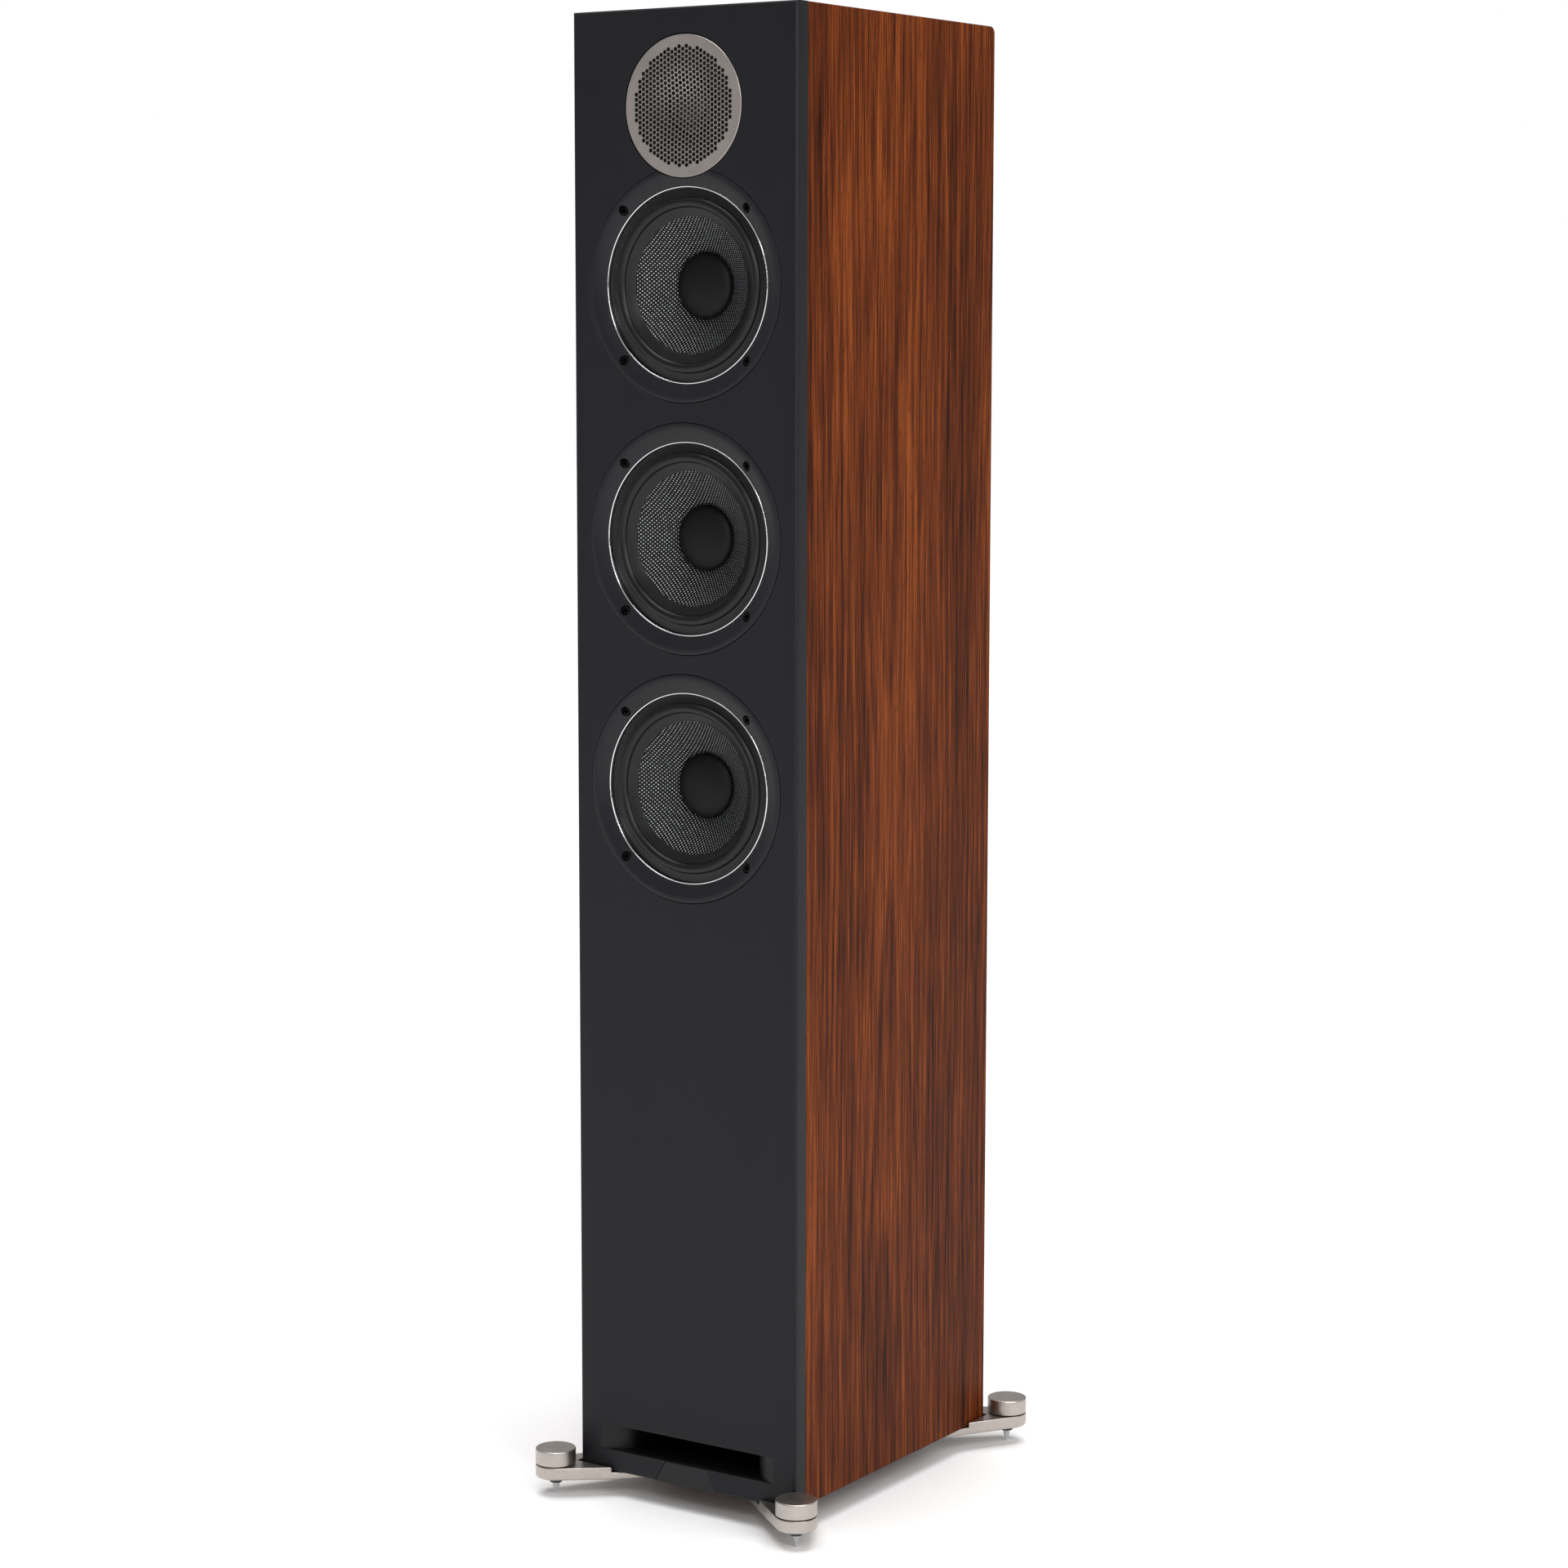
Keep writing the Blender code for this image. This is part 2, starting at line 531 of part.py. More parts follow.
def build_back_and_braces(cabinet, finishes):
    """The back panel with its terminal opening, two window braces and the slot's duct."""
    half = INNER_HALF_WIDTH - FIT_GAP
    low = (-half, BACK_PANEL_FRONT, PANEL_THICKNESS + FIT_GAP)
    high = (half, HALF_DEPTH, CABINET_HEIGHT - PANEL_THICKNESS - FIT_GAP)
    back = place(block(low, high), "back_panel", finishes["black_vinyl"], cabinet)
    opening = prism(
        rounded_rectangle(CUP_WIDTH + 2 * FIT_GAP, CUP_HEIGHT + 2 * FIT_GAP, CUP_CORNER_RADIUS),
        -CUT_OVERRUN, PANEL_THICKNESS + CUT_OVERRUN,
    )
    cutter = helper(
        opening, "terminal_opening", cabinet, (0, HALF_DEPTH, TERMINAL_HEIGHT),
        (math.pi / 2, 0, 0),
    )
    combine(back, cutter)

    front_y, back_y = CAVITY_FRONT, BACK_PANEL_FRONT - FIT_GAP
    heights = {
        "brace_upper": WOOFER_CENTRES["woofer_upper"] - WOOFER_PITCH / 2,
        "brace_lower": WOOFER_CENTRES["woofer_middle"] - WOOFER_PITCH / 2,
    }
    for name, height in heights.items():
        low = (-half, front_y, height - BRACE_THICKNESS / 2)
        high = (half, back_y, height + BRACE_THICKNESS / 2)
        brace = place(block(low, high), name, finishes["board"], cabinet)
        frame = BRACE_FRAME_WIDTH
        low = (-half + frame, front_y + frame, height - BRACE_THICKNESS)
        high = (half - frame, back_y - frame, height + BRACE_THICKNESS)
        combine(brace, helper(block(low, high), name + "_window", cabinet))

    half_air = SLOT_THROAT_WIDTH / 2
    ceiling = SLOT_FLOOR + SLOT_HEIGHT
    low = (-half_air - DUCT_WALL, CAVITY_FRONT, SLOT_FLOOR - DUCT_WALL)
    high = (half_air + DUCT_WALL, CAVITY_FRONT + DUCT_LENGTH, ceiling + DUCT_WALL)
    duct = place(block(low, high), "port_duct", finishes["port"], cabinet)
    low = (-half_air, CAVITY_FRONT - CUT_OVERRUN, SLOT_FLOOR)
    high = (half_air, CAVITY_FRONT + DUCT_LENGTH + CUT_OVERRUN, ceiling)
    combine(duct, helper(block(low, high), "duct_air", cabinet))


# ---- woofers ------------------------------------------------------------------------------


def trim_outline():
    """The trim ring: flush rim, face dished down to the bright inner lip."""
    dish_start = TRIM_RADIUS - TRIM_FLAT_WIDTH
    return [
        (TRIM_RADIUS, 0.0),
        (TRIM_RADIUS, -TRIM_RIM_THICKNESS),
        (FLANGE_RADIUS, -TRIM_RIM_THICKNESS),
        (FLANGE_RADIUS, -TRIM_BACK),
        (LIP_RADIUS, -TRIM_BACK),
        (LIP_RADIUS, -TRIM_DISH_DEPTH),
        (LIP_RADIUS + TRIM_LIP_WIDTH, -TRIM_LIP_FALL),
        (dish_start - TRIM_SHOULDER_WIDTH, -TRIM_SHOULDER_FALL),
        (dish_start, 0.0),
    ]


def basket_outline():
    """The basket: flange, sloping wall, spider shelf and the ring that holds the motor."""
    mouth = BASKET_MOUTH_RADIUS
    shelf_back = SHELF_DEPTH + BASKET_WALL
    ring_back = MOTOR_FRONT - FIT_GAP
    ring_inner = FORMER_OUTER + MOTOR_OPENING_WIDTH
    return [
        (FLANGE_RADIUS, -FLANGE_FRONT),
        (FLANGE_RADIUS, -FLANGE_BACK),
        (mouth + BASKET_WALL, -FLANGE_BACK),
        (SHELF_OUTER + BASKET_WALL, -shelf_back),
        (SHELF_INNER + BASKET_WALL, -shelf_back),
        (SHELF_INNER + BASKET_WALL, -ring_back),
        (ring_inner, -ring_back),
        (ring_inner, -ring_back + BASKET_WALL),
        (SHELF_INNER, -ring_back + BASKET_WALL),
        (SHELF_INNER, -SHELF_DEPTH),
        (SHELF_OUTER, -SHELF_DEPTH),
        (mouth, -FLANGE_BACK),
        (mouth, -FLANGE_FRONT),
    ]


def motor_outline(front, plate_radius, plate, magnet_radius, magnet, hole, pole):
    """A loudspeaker motor in section: top plate, ring magnet, back plate and pole piece.

    The annular gap between pole and top plate stays open to the front.
    """
    pole_radius, gap_radius = pole
    magnet_front, magnet_back = front + plate, front + plate + magnet
    return [
        (0.0, -front + POLE_PROUD),
        (pole_radius, -front + POLE_PROUD),
        (pole_radius, -magnet_back),
        (hole, -magnet_back),
        (hole, -magnet_front),
        (gap_radius, -magnet_front),
        (gap_radius, -front),
        (plate_radius, -front),
        (plate_radius, -magnet_front),
        (magnet_radius, -magnet_front),
        (magnet_radius, -magnet_back),
        (plate_radius, -magnet_back),
        (plate_radius, -magnet_back - plate),
        (0.0, -magnet_back - plate),
    ]


def surround_path():
    """The rubber surround's middle line: outer landing, half roll, glued inner landing."""
    roll = arc((ROLL_CENTRE, -SURROUND_DEPTH), (SURROUND_ROLL_RADIUS,) * 2, 0, 180, 4)
    edge_depth = CONE_EDGE_DEPTH - FIT_GAP - SURROUND_THICKNESS / 2 - SURROUND_CONE_LIFT
    glue_depth = edge_depth + (SURROUND_GLUE_WIDTH - CONE_EDGE_INSET) * CONE_SLOPE
    return [(LANDING_OUTER, -SURROUND_DEPTH)] + roll + [
        (CONE_RADIUS, -edge_depth),
        (ROLL_INNER - SURROUND_GLUE_WIDTH, -glue_depth),
    ]


def spider_path():
    """The corrugated spider's middle line, from the former out to the basket's shelf."""
    inner, outer = FORMER_OUTER + SPIDER_INNER_GAP, SHELF_INNER + SPIDER_LANDING_START
    points = []
    crests = 2 * SPIDER_WAVES
    for crest in range(crests + 1):
        radius = inner + (outer - inner) * crest / crests
        wave = 0.0 if crest in (0, crests) else SPIDER_WAVE_HEIGHT * (1 if crest % 2 else -1)
        points.append((radius, -SPIDER_DEPTH + wave))
    points.append((SHELF_OUTER - SPIDER_OUTER_GAP, -SPIDER_DEPTH))
    return points


def cone_outline():
    """The woven cone with its voice-coil former."""
    slope_back = CONE_THICKNESS * math.hypot(1, CONE_SLOPE)
    neck_back = CONE_EDGE_DEPTH + slope_back + (CONE_RADIUS - FORMER_OUTER) * CONE_SLOPE
    return [
        (CONE_RADIUS, -CONE_EDGE_DEPTH),
        (CONE_RADIUS, -CONE_EDGE_DEPTH - slope_back),
        (FORMER_OUTER, -neck_back),
        (FORMER_OUTER, -FORMER_END),
        (COIL_RADIUS, -FORMER_END),
        (COIL_RADIUS, -CONE_NECK_DEPTH),
    ]


def dust_cap_outline():
    """The domed dust cap, resting on the cone."""
    rim_depth = CONE_EDGE_DEPTH + (CONE_RADIUS - DUST_CAP_RADIUS) * CONE_SLOPE
    rim_depth -= FIT_GAP + DUST_CAP_THICKNESS
    radii = (DUST_CAP_RADIUS, DUST_CAP_HEIGHT)
    path = arc((0.0, -rim_depth), radii, 90, 0, 3)
    path[0] = (0.0, -rim_depth + DUST_CAP_HEIGHT)
    inner = [(0.0, path[0][1] - DUST_CAP_THICKNESS)]
    inner += [(radius - DUST_CAP_THICKNESS, height - DUST_CAP_THICKNESS / 2)
              for radius, height in path[1:]]
    return path + inner[::-1]


def build_woofer(name, centre, cabinet, finishes):
    """One woofer: trim ring, basket, motor, spider, surround, cone and dust cap."""
    axis = empty(name + "_axis", cabinet, (0, -HALF_DEPTH, centre), (math.pi / 2, 0, 0))
    trim = place(turned(trim_outline()), name + "_trim_ring", finishes["trim"], axis)
    if name == "woofer_upper":
        reach = TWEETER_RADIUS + TWEETER_RECESS_GAP
        bite = [(0.0, CUT_OVERRUN), (reach, CUT_OVERRUN), (reach, -FLANGE_FRONT), (0.0, -FLANGE_FRONT)]
        cutter = helper(
            turned(bite, SIDES_TWEETER), "trim_ring_bite", axis, (0, TWEETER_CENTRE - centre, 0),
        )
        combine(trim, cutter)
    basket = place(turned(basket_outline()), name + "_basket", finishes["basket"], axis)
    half, reach = BASKET_WINDOW_WIDTH / 2, TRIM_RADIUS
    top, bottom = -FLANGE_BACK - 2 * BASKET_WALL, -SHELF_DEPTH + 2 * BASKET_WALL
    for label, low, high in (
        ("_windows_across", (-reach, -half, bottom), (reach, half, top)),
        ("_windows_upright", (-half, -reach, bottom), (half, reach, top)),
    ):
        combine(basket, helper(block(low, high), name + label, axis))
    motor = motor_outline(
        MOTOR_FRONT, MOTOR_PLATE_RADIUS, MOTOR_PLATE_THICKNESS, MAGNET_RADIUS, MAGNET_HEIGHT,
        MAGNET_HOLE_RADIUS, (COIL_RADIUS - COIL_GAP, FORMER_OUTER + COIL_GAP),
    )
    place(turned(motor, SIDES_HIDDEN), name + "_motor", finishes["motor"], axis)
    spider = sheet_outline(spider_path(), SPIDER_THICKNESS)
    place(turned(spider, SIDES_HIDDEN), name + "_spider", finishes["spider"], axis)
    surround = sheet_outline(surround_path(), SURROUND_THICKNESS)
    place(turned(surround), name + "_surround", finishes["surround"], axis)
    place(turned(cone_outline()), name + "_cone", finishes["cone"], axis)
    place(turned(dust_cap_outline()), name + "_dust_cap", finishes["cap"], axis)


# ---- tweeter ------------------------------------------------------------------------------


def grille_path():
    """The grille's middle line: a flat rim round a shallow dish."""
    flat = GRILLE_THICKNESS / 2
    points = []
    for step in range(GRILLE_DISH_STEPS + 1):
        radius = GRILLE_DISH_RADIUS * step / GRILLE_DISH_STEPS
        fall = GRILLE_DISH_DEPTH * (1 + math.cos(math.pi * radius / GRILLE_DISH_RADIUS)) / 2
        points.append((radius, -flat - fall))
    return points + [(TWEETER_RADIUS, -flat)]


def build_tweeter(cabinet, finishes):
    """The tweeter: perforated grille, faceplate, surround, dome and motor."""
    axis = empty("tweeter_axis", cabinet, (0, -HALF_DEPTH, TWEETER_CENTRE), (math.pi / 2, 0, 0))
    grille = sheet_outline(grille_path(), GRILLE_THICKNESS)
    place(turned(grille, SIDES_TWEETER), "tweeter_grille", finishes["nickel"], axis)
    mouth = TWEETER_RADIUS - FACEPLATE_RIM
    faceplate = [
        (TWEETER_RADIUS, -GRILLE_BACK),
        (TWEETER_RADIUS, -FACEPLATE_BACK),
        (CHAMBER_RADIUS, -FACEPLATE_BACK),
        (CHAMBER_RADIUS, -CHAMBER_BACK),
        (THROAT_RADIUS, -CHAMBER_BACK),
        (THROAT_RADIUS, -CHAMBER_BACK + THROAT_DEPTH),
        (mouth, -GRILLE_BACK - WAVEGUIDE_LIP_DEPTH),
        (mouth, -GRILLE_BACK),
    ]
    place(turned(faceplate, SIDES_TWEETER), "tweeter_faceplate", finishes["port"], axis)
    dome = arc((0.0, -DOME_RIM_DEPTH), (DOME_RADIUS, DOME_HEIGHT), 90, 15, 3)
    dome[0] = (0.0, -DOME_RIM_DEPTH + DOME_HEIGHT)
    coil_end = TWEETER_MOTOR_FRONT + TWEETER_PLATE_THICKNESS
    dome += [(DOME_RADIUS, -DOME_RIM_DEPTH), (DOME_RADIUS, -coil_end)]
    dome_sheet = sheet_outline(dome, DOME_THICKNESS)
    place(turned(dome_sheet, SIDES_HIDDEN), "tweeter_dome", finishes["dome"], axis)
    inner = DOME_RADIUS + DOME_THICKNESS / 2 + FIT_GAP
    outer = inner + DOME_SURROUND_WIDTH
    middle = (inner + outer) / 2
    roll = arc((middle, -DOME_RIM_DEPTH), (DOME_SURROUND_WIDTH / 2, DOME_SURROUND_HEIGHT), 0, 180, 4)
    surround = sheet_outline(roll, DOME_THICKNESS)
    place(turned(surround, SIDES_HIDDEN), "tweeter_surround", finishes["dome"], axis)
    pole = (DOME_RADIUS - DOME_THICKNESS / 2 - FIT_GAP, inner)
    motor = motor_outline(
        TWEETER_MOTOR_FRONT, TWEETER_MOTOR_RADIUS, TWEETER_PLATE_THICKNESS,
        TWEETER_MAGNET_RADIUS, TWEETER_MAGNET_HEIGHT, pole[1] + TWEETER_MAGNET_HOLE_WIDTH, pole,
    )
    place(turned(motor, SIDES_HIDDEN), "tweeter_motor", finishes["motor"], axis)


# ---- feet ---------------------------------------------------------------------------------


def arm_blank():
    """An outrigger arm before its notch: round at the knob, its sides opening out inwards."""
    turn = math.degrees(ARM_DIVERGENCE)
    outline = arc((0, 0), (KNOB_RADIUS,) * 2, 90 + turn, 270 - turn, 12)
    spread = math.tan(ARM_DIVERGENCE)
    half_end = KNOB_RADIUS / math.cos(ARM_DIVERGENCE) + ARM_LENGTH * spread
    corner = ARM_LOWER_EDGE
    outline += [
        (ARM_LENGTH - corner, -half_end + corner * spread),
        (ARM_LENGTH, -half_end + corner),
        (ARM_LENGTH, half_end - corner),
        (ARM_LENGTH - corner, half_end - corner * spread),
    ]
    bm = prism(outline, ARM_BOTTOM, ARM_TOP)
    lower = [
        edge for edge in bm.edges
        if all(abs(vert.co.z - ARM_BOTTOM) < FIT_GAP for vert in edge.verts)
    ]
    bmesh.ops.bevel(bm, geom=lower, offset=ARM_LOWER_EDGE, segments=2, profile=0.5, affect="EDGES")
    return bm


def build_foot(name, side, end, notch, cabinet, finishes):
    """One outrigger foot: arm with its collar, washer, height knob and spike."""
    place_x = side * (HALF_WIDTH + FOOT_SIDE_OUTSET)
    place_y = end * (HALF_DEPTH + FOOT_END_OUTSET)
    axis = empty(name + "_axis", cabinet, (place_x, place_y, 0))
    inward = math.atan2(-end * math.sin(ARM_ANGLE), -side * math.cos(ARM_ANGLE))
    arm = place(arm_blank(), name + "_arm", finishes["nickel"], axis, rotation=(0, 0, inward))
    collar = [
        (0.0, -COLLAR_LAP), (COLLAR_RADIUS, -COLLAR_LAP),
        (COLLAR_RADIUS, COLLAR_BOTTOM), (0.0, COLLAR_BOTTOM),
    ]
    bore = [
        (0.0, ARM_TOP + CUT_OVERRUN), (STUD_BORE_RADIUS, ARM_TOP + CUT_OVERRUN),
        (STUD_BORE_RADIUS, COLLAR_BOTTOM - CUT_OVERRUN), (0.0, COLLAR_BOTTOM - CUT_OVERRUN),
    ]
    combine(arm, helper(turned(collar, SIDES_HIDDEN), name + "_collar", axis), "UNION")
    combine(arm, helper(turned(bore, SIDES_STUD), name + "_bore", axis))
    combine(arm, notch)

    washer_low = ARM_TOP + FIT_GAP
    washer_high = washer_low + WASHER_THICKNESS
    washer = [
        (WASHER_RADIUS, washer_low), (WASHER_RADIUS, washer_high),
        (STUD_BORE_RADIUS, washer_high), (STUD_BORE_RADIUS, washer_low),
    ]
    place(turned(washer, SIDES_HIDDEN), name + "_washer", finishes["washer"], axis)

    stud_top = KNOB_BOTTOM + STUD_IN_KNOB
    recess = washer_high + FIT_GAP
    knob = [
        (0.0, KNOB_TOP),
        (KNOB_RADIUS - KNOB_EDGE, KNOB_TOP),
        (KNOB_RADIUS, KNOB_TOP - KNOB_EDGE),
        (KNOB_RADIUS, KNOB_BOTTOM + KNOB_EDGE),
        (KNOB_RADIUS - KNOB_EDGE, KNOB_BOTTOM),
        (WASHER_RADIUS + 2 * FIT_GAP, KNOB_BOTTOM),
        (WASHER_RADIUS + 2 * FIT_GAP, recess),
        (STUD_BORE_RADIUS, recess),
        (STUD_BORE_RADIUS, stud_top + FIT_GAP),
        (0.0, stud_top + FIT_GAP),
    ]
    place(turned(knob, SIDES_KNOB), name + "_knob", finishes["nickel"], axis)
    spike = [
        (0.0, stud_top), (STUD_RADIUS, stud_top), (STUD_RADIUS, COLLAR_BOTTOM),
        (SPIKE_TIP_RADIUS, -GROUND_CLEARANCE), (0.0, -GROUND_CLEARANCE),
    ]
    place(turned(spike, SIDES_STUD), name + "_spike", finishes["chrome"], axis)


def build_feet(cabinet, finishes):
    """The four feet. One notch cutter clears the cabinet's corner from every arm."""
    half_x, half_y = HALF_WIDTH + NOTCH_GAP, HALF_DEPTH + NOTCH_GAP
    top = ARM_TOP + CUT_OVERRUN
    notch = helper(block((-half_x, -half_y, -FIT_GAP), (half_x, half_y, top)), "arm_notch", cabinet)
    for name, (side, end) in FEET.items():
        build_foot(name, side, end, notch, cabinet, finishes)


# ---- terminals and crossover --------------------------------------------------------------


def build_terminals(cabinet, finishes):
    """The recessed rear cup with its two binding posts, washers and screw caps."""
    # Heights here run outwards from the panel's outer face, along +Y.
    outward = (-math.pi / 2, 0, 0)
    centre = empty("terminal_axis", cabinet, (0, HALF_DEPTH, TERMINAL_HEIGHT), outward)
    width, height = CUP_WIDTH, CUP_HEIGHT
    flange = rounded_rectangle(
        width + 2 * CUP_FLANGE_WIDTH, height + 2 * CUP_FLANGE_WIDTH, CUP_CORNER_RADIUS,
    )
    flange_top = FIT_GAP + CUP_FLANGE_THICKNESS
    cup = place(prism(flange, FIT_GAP, flange_top), "terminal_cup", finishes["port"], centre)
    body = prism(rounded_rectangle(width, height, CUP_CORNER_RADIUS), -CUP_DEPTH, flange_top / 2)
    combine(cup, helper(body, "cup_body", centre), "UNION")
    floor = -CUP_DEPTH + CUP_WALL
    dish = prism(
        rounded_rectangle(width - 2 * CUP_WALL, height - 2 * CUP_WALL, CUP_CORNER_RADIUS - CUP_WALL),
        floor, flange_top + CUT_OVERRUN,
    )
    combine(cup, helper(dish, "cup_dish", centre))

    washer_low = POST_BASE_HEIGHT + 2 * FIT_GAP
    washer_high = washer_low + POST_WASHER_THICKNESS
    cap_low = washer_high + FIT_GAP
    bore_radius = POST_RADIUS + STUD_CLEARANCE
    post = [
        (0.0, POST_BASE_HEIGHT + 2 * FIT_GAP),
        (POST_BORE_RADIUS, POST_BASE_HEIGHT + 2 * FIT_GAP),
        (POST_BORE_RADIUS, POST_LENGTH),
        (POST_RADIUS, POST_LENGTH),
        (POST_RADIUS, POST_BASE_HEIGHT + FIT_GAP),
        (POST_BASE_RADIUS, POST_BASE_HEIGHT + FIT_GAP),
        (POST_BASE_RADIUS, FIT_GAP),
        (POST_RADIUS, FIT_GAP),
        (POST_RADIUS, -POST_TAIL),
        (0.0, -POST_TAIL),
    ]
    washer = [
        (POST_WASHER_RADIUS, washer_low), (POST_WASHER_RADIUS, washer_high),
        (bore_radius, washer_high), (bore_radius, washer_low),
    ]
    cap = [
        (CAP_RADIUS, cap_low),
        (CAP_RADIUS, cap_low + CAP_HEIGHT - KNOB_EDGE),
        (CAP_RADIUS - KNOB_EDGE, cap_low + CAP_HEIGHT),
        (bore_radius, cap_low + CAP_HEIGHT),
        (bore_radius, cap_low),
    ]
    hole = [
        (0.0, CUT_OVERRUN), (bore_radius, CUT_OVERRUN),
        (bore_radius, -CUP_WALL - CUT_OVERRUN), (0.0, -CUP_WALL - CUT_OVERRUN),
    ]
    for label, side in (("left", -1), ("right", 1)):
        axis = empty("post_axis_" + label, centre, (side * POST_SPACING / 2, 0, floor))
        combine(cup, helper(turned(hole, SIDES_STUD), "post_hole_" + label, axis))
        place(turned(post, SIDES_STUD), "binding_post_" + label, finishes["brass"], axis)
        place(turned(washer, SIDES_STUD), "post_washer_" + label, finishes["brass"], axis)
        place(turned(cap, SIDES_HIDDEN), "post_cap_" + label, finishes["cap_plastic"], axis)


def build_crossover(cabinet, finishes):
    """The crossover: a board on four stand-offs, with two chokes and three capacitors."""
    # Heights here run into the cabinet from the back panel's inner face, along -Y.
    base = TERMINAL_HEIGHT + CUP_HEIGHT / 2 + BOARD_ABOVE_CUP + BOARD_HEIGHT / 2
    centre = empty(
        "crossover_axis", cabinet, (0, BACK_PANEL_FRONT - FIT_GAP, base), (math.pi / 2, 0, 0),
    )
    half_x, half_y = BOARD_WIDTH / 2, BOARD_HEIGHT / 2
    face = BOARD_STANDOFF + BOARD_THICKNESS
    board = block((-half_x, -half_y, BOARD_STANDOFF), (half_x, half_y, face))
    board = place(board, "crossover_board", finishes["circuit"], centre)
    low = face - BOARD_THICKNESS / 2
    spot_x, spot_y = half_x - STANDOFF_INSET, half_y - STANDOFF_INSET
    standoff = [(0.0, low), (STANDOFF_RADIUS, low), (STANDOFF_RADIUS, 0.0), (0.0, 0.0)]
    for index, (side_x, side_y) in enumerate(((-1, -1), (1, -1), (1, 1), (-1, 1))):
        spot = (side_x * spot_x, side_y * spot_y, 0)
        stand = helper(turned(standoff, SIDES_STUD), f"standoff_{index + 1}", centre, spot)
        combine(board, stand, "UNION")
    top = face + CHOKE_HEIGHT
    for index, radius in enumerate(CHOKE_RADII):
        outline = [(radius, low), (radius, top), (CHOKE_HOLE_RADIUS, top), (CHOKE_HOLE_RADIUS, low)]
        spot = (-half_x / 2, (index - 0.5) * half_y, 0)
        choke = helper(turned(outline, SIDES_HIDDEN), f"choke_{index + 1}", centre, spot)
        combine(board, choke, "UNION")
    end = CAPACITOR_LENGTH / 2
    outline = [(0.0, end), (CAPACITOR_RADIUS, end), (CAPACITOR_RADIUS, -end), (0.0, -end)]
    for index in range(3):
        spot = (half_x / 2 + (index - 1) * CAPACITOR_SPACING, 0, face + CAPACITOR_RADIUS - CAPACITOR_SUNK)
        capacitor = turned(outline, SIDES_STUD)
        capacitor = helper(capacitor, f"capacitor_{index + 1}", centre, spot, (math.pi / 2, 0, 0))
        combine(board, capacitor, "UNION")


def main():
    """Build the whole speaker."""
    clear_scene()
    finishes = make_finishes()
    cabinet = empty("cabinet_axis", None, (0, 0, GROUND_CLEARANCE))
    build_sleeve(cabinet, finishes)
    build_baffle(cabinet, finishes)
    build_back_and_braces(cabinet, finishes)
    for name, centre in WOOFER_CENTRES.items():
        build_woofer(name, centre, cabinet, finishes)
    build_tweeter(cabinet, finishes)
    build_feet(cabinet, finishes)
    build_terminals(cabinet, finishes)
    build_crossover(cabinet, finishes)


main()
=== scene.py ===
"""Looks of a slim three-woofer floorstanding loudspeaker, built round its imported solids.

Metres, +Z up, the front faces -Y and the spikes stand on z = 0. A turned piece is drawn as a
(radius, height) outline and spun about its axis. On a driver, height 0 is the baffle's face.
"""

import enum
import logging
import math
from dataclasses import dataclass
from typing import Callable, Iterable, Sequence

import bpy
from mathutils import Matrix, Vector
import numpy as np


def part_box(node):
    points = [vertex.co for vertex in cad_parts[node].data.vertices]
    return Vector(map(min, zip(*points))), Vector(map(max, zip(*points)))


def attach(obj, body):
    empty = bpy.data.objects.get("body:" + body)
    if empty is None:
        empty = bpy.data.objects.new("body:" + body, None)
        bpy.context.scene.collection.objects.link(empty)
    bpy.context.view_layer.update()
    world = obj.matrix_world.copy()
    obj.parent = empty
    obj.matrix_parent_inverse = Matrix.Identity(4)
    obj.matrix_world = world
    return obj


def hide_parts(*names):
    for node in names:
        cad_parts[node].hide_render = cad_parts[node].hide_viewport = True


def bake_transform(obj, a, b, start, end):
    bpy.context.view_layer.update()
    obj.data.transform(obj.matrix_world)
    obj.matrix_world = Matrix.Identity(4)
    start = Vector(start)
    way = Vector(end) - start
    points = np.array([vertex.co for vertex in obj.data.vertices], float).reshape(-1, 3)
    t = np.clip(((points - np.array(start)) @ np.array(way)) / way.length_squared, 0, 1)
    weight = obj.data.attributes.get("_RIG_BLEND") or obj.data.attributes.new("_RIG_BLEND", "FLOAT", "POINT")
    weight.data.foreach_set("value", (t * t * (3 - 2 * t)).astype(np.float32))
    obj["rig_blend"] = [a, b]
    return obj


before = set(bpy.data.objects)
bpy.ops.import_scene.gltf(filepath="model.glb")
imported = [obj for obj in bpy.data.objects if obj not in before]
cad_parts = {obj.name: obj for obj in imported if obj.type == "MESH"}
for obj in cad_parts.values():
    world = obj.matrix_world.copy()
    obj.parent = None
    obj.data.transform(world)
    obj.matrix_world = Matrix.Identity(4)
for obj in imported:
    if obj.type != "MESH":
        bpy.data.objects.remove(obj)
LOG = logging.getLogger("speaker")
MM = 0.001
# A cutter stands out this far past the face that it cuts.
OVERCUT = 0.004
# Room for rounding, where faces, edges and points are told apart by their places.
NEAR = 1e-5
Outline = Sequence[tuple[float, float]]


# ---- materials ----------------------------------------------------------------------------


def linear(code: str) -> tuple[float, float, float, float]:
    """Turn an sRGB hex colour into linear red, green, blue and alpha.

    Args:
        code: six hex digits, such as "9e9794".

    Returns:
        The four linear channels, with an alpha of 1.
    """
    channels = [int(code[place : place + 2], 16) / 255 for place in (0, 2, 4)]
    light = [c / 12.92 if c <= 0.04045 else ((c + 0.055) / 1.055) ** 2.4 for c in channels]
    return (*light, 1.0)


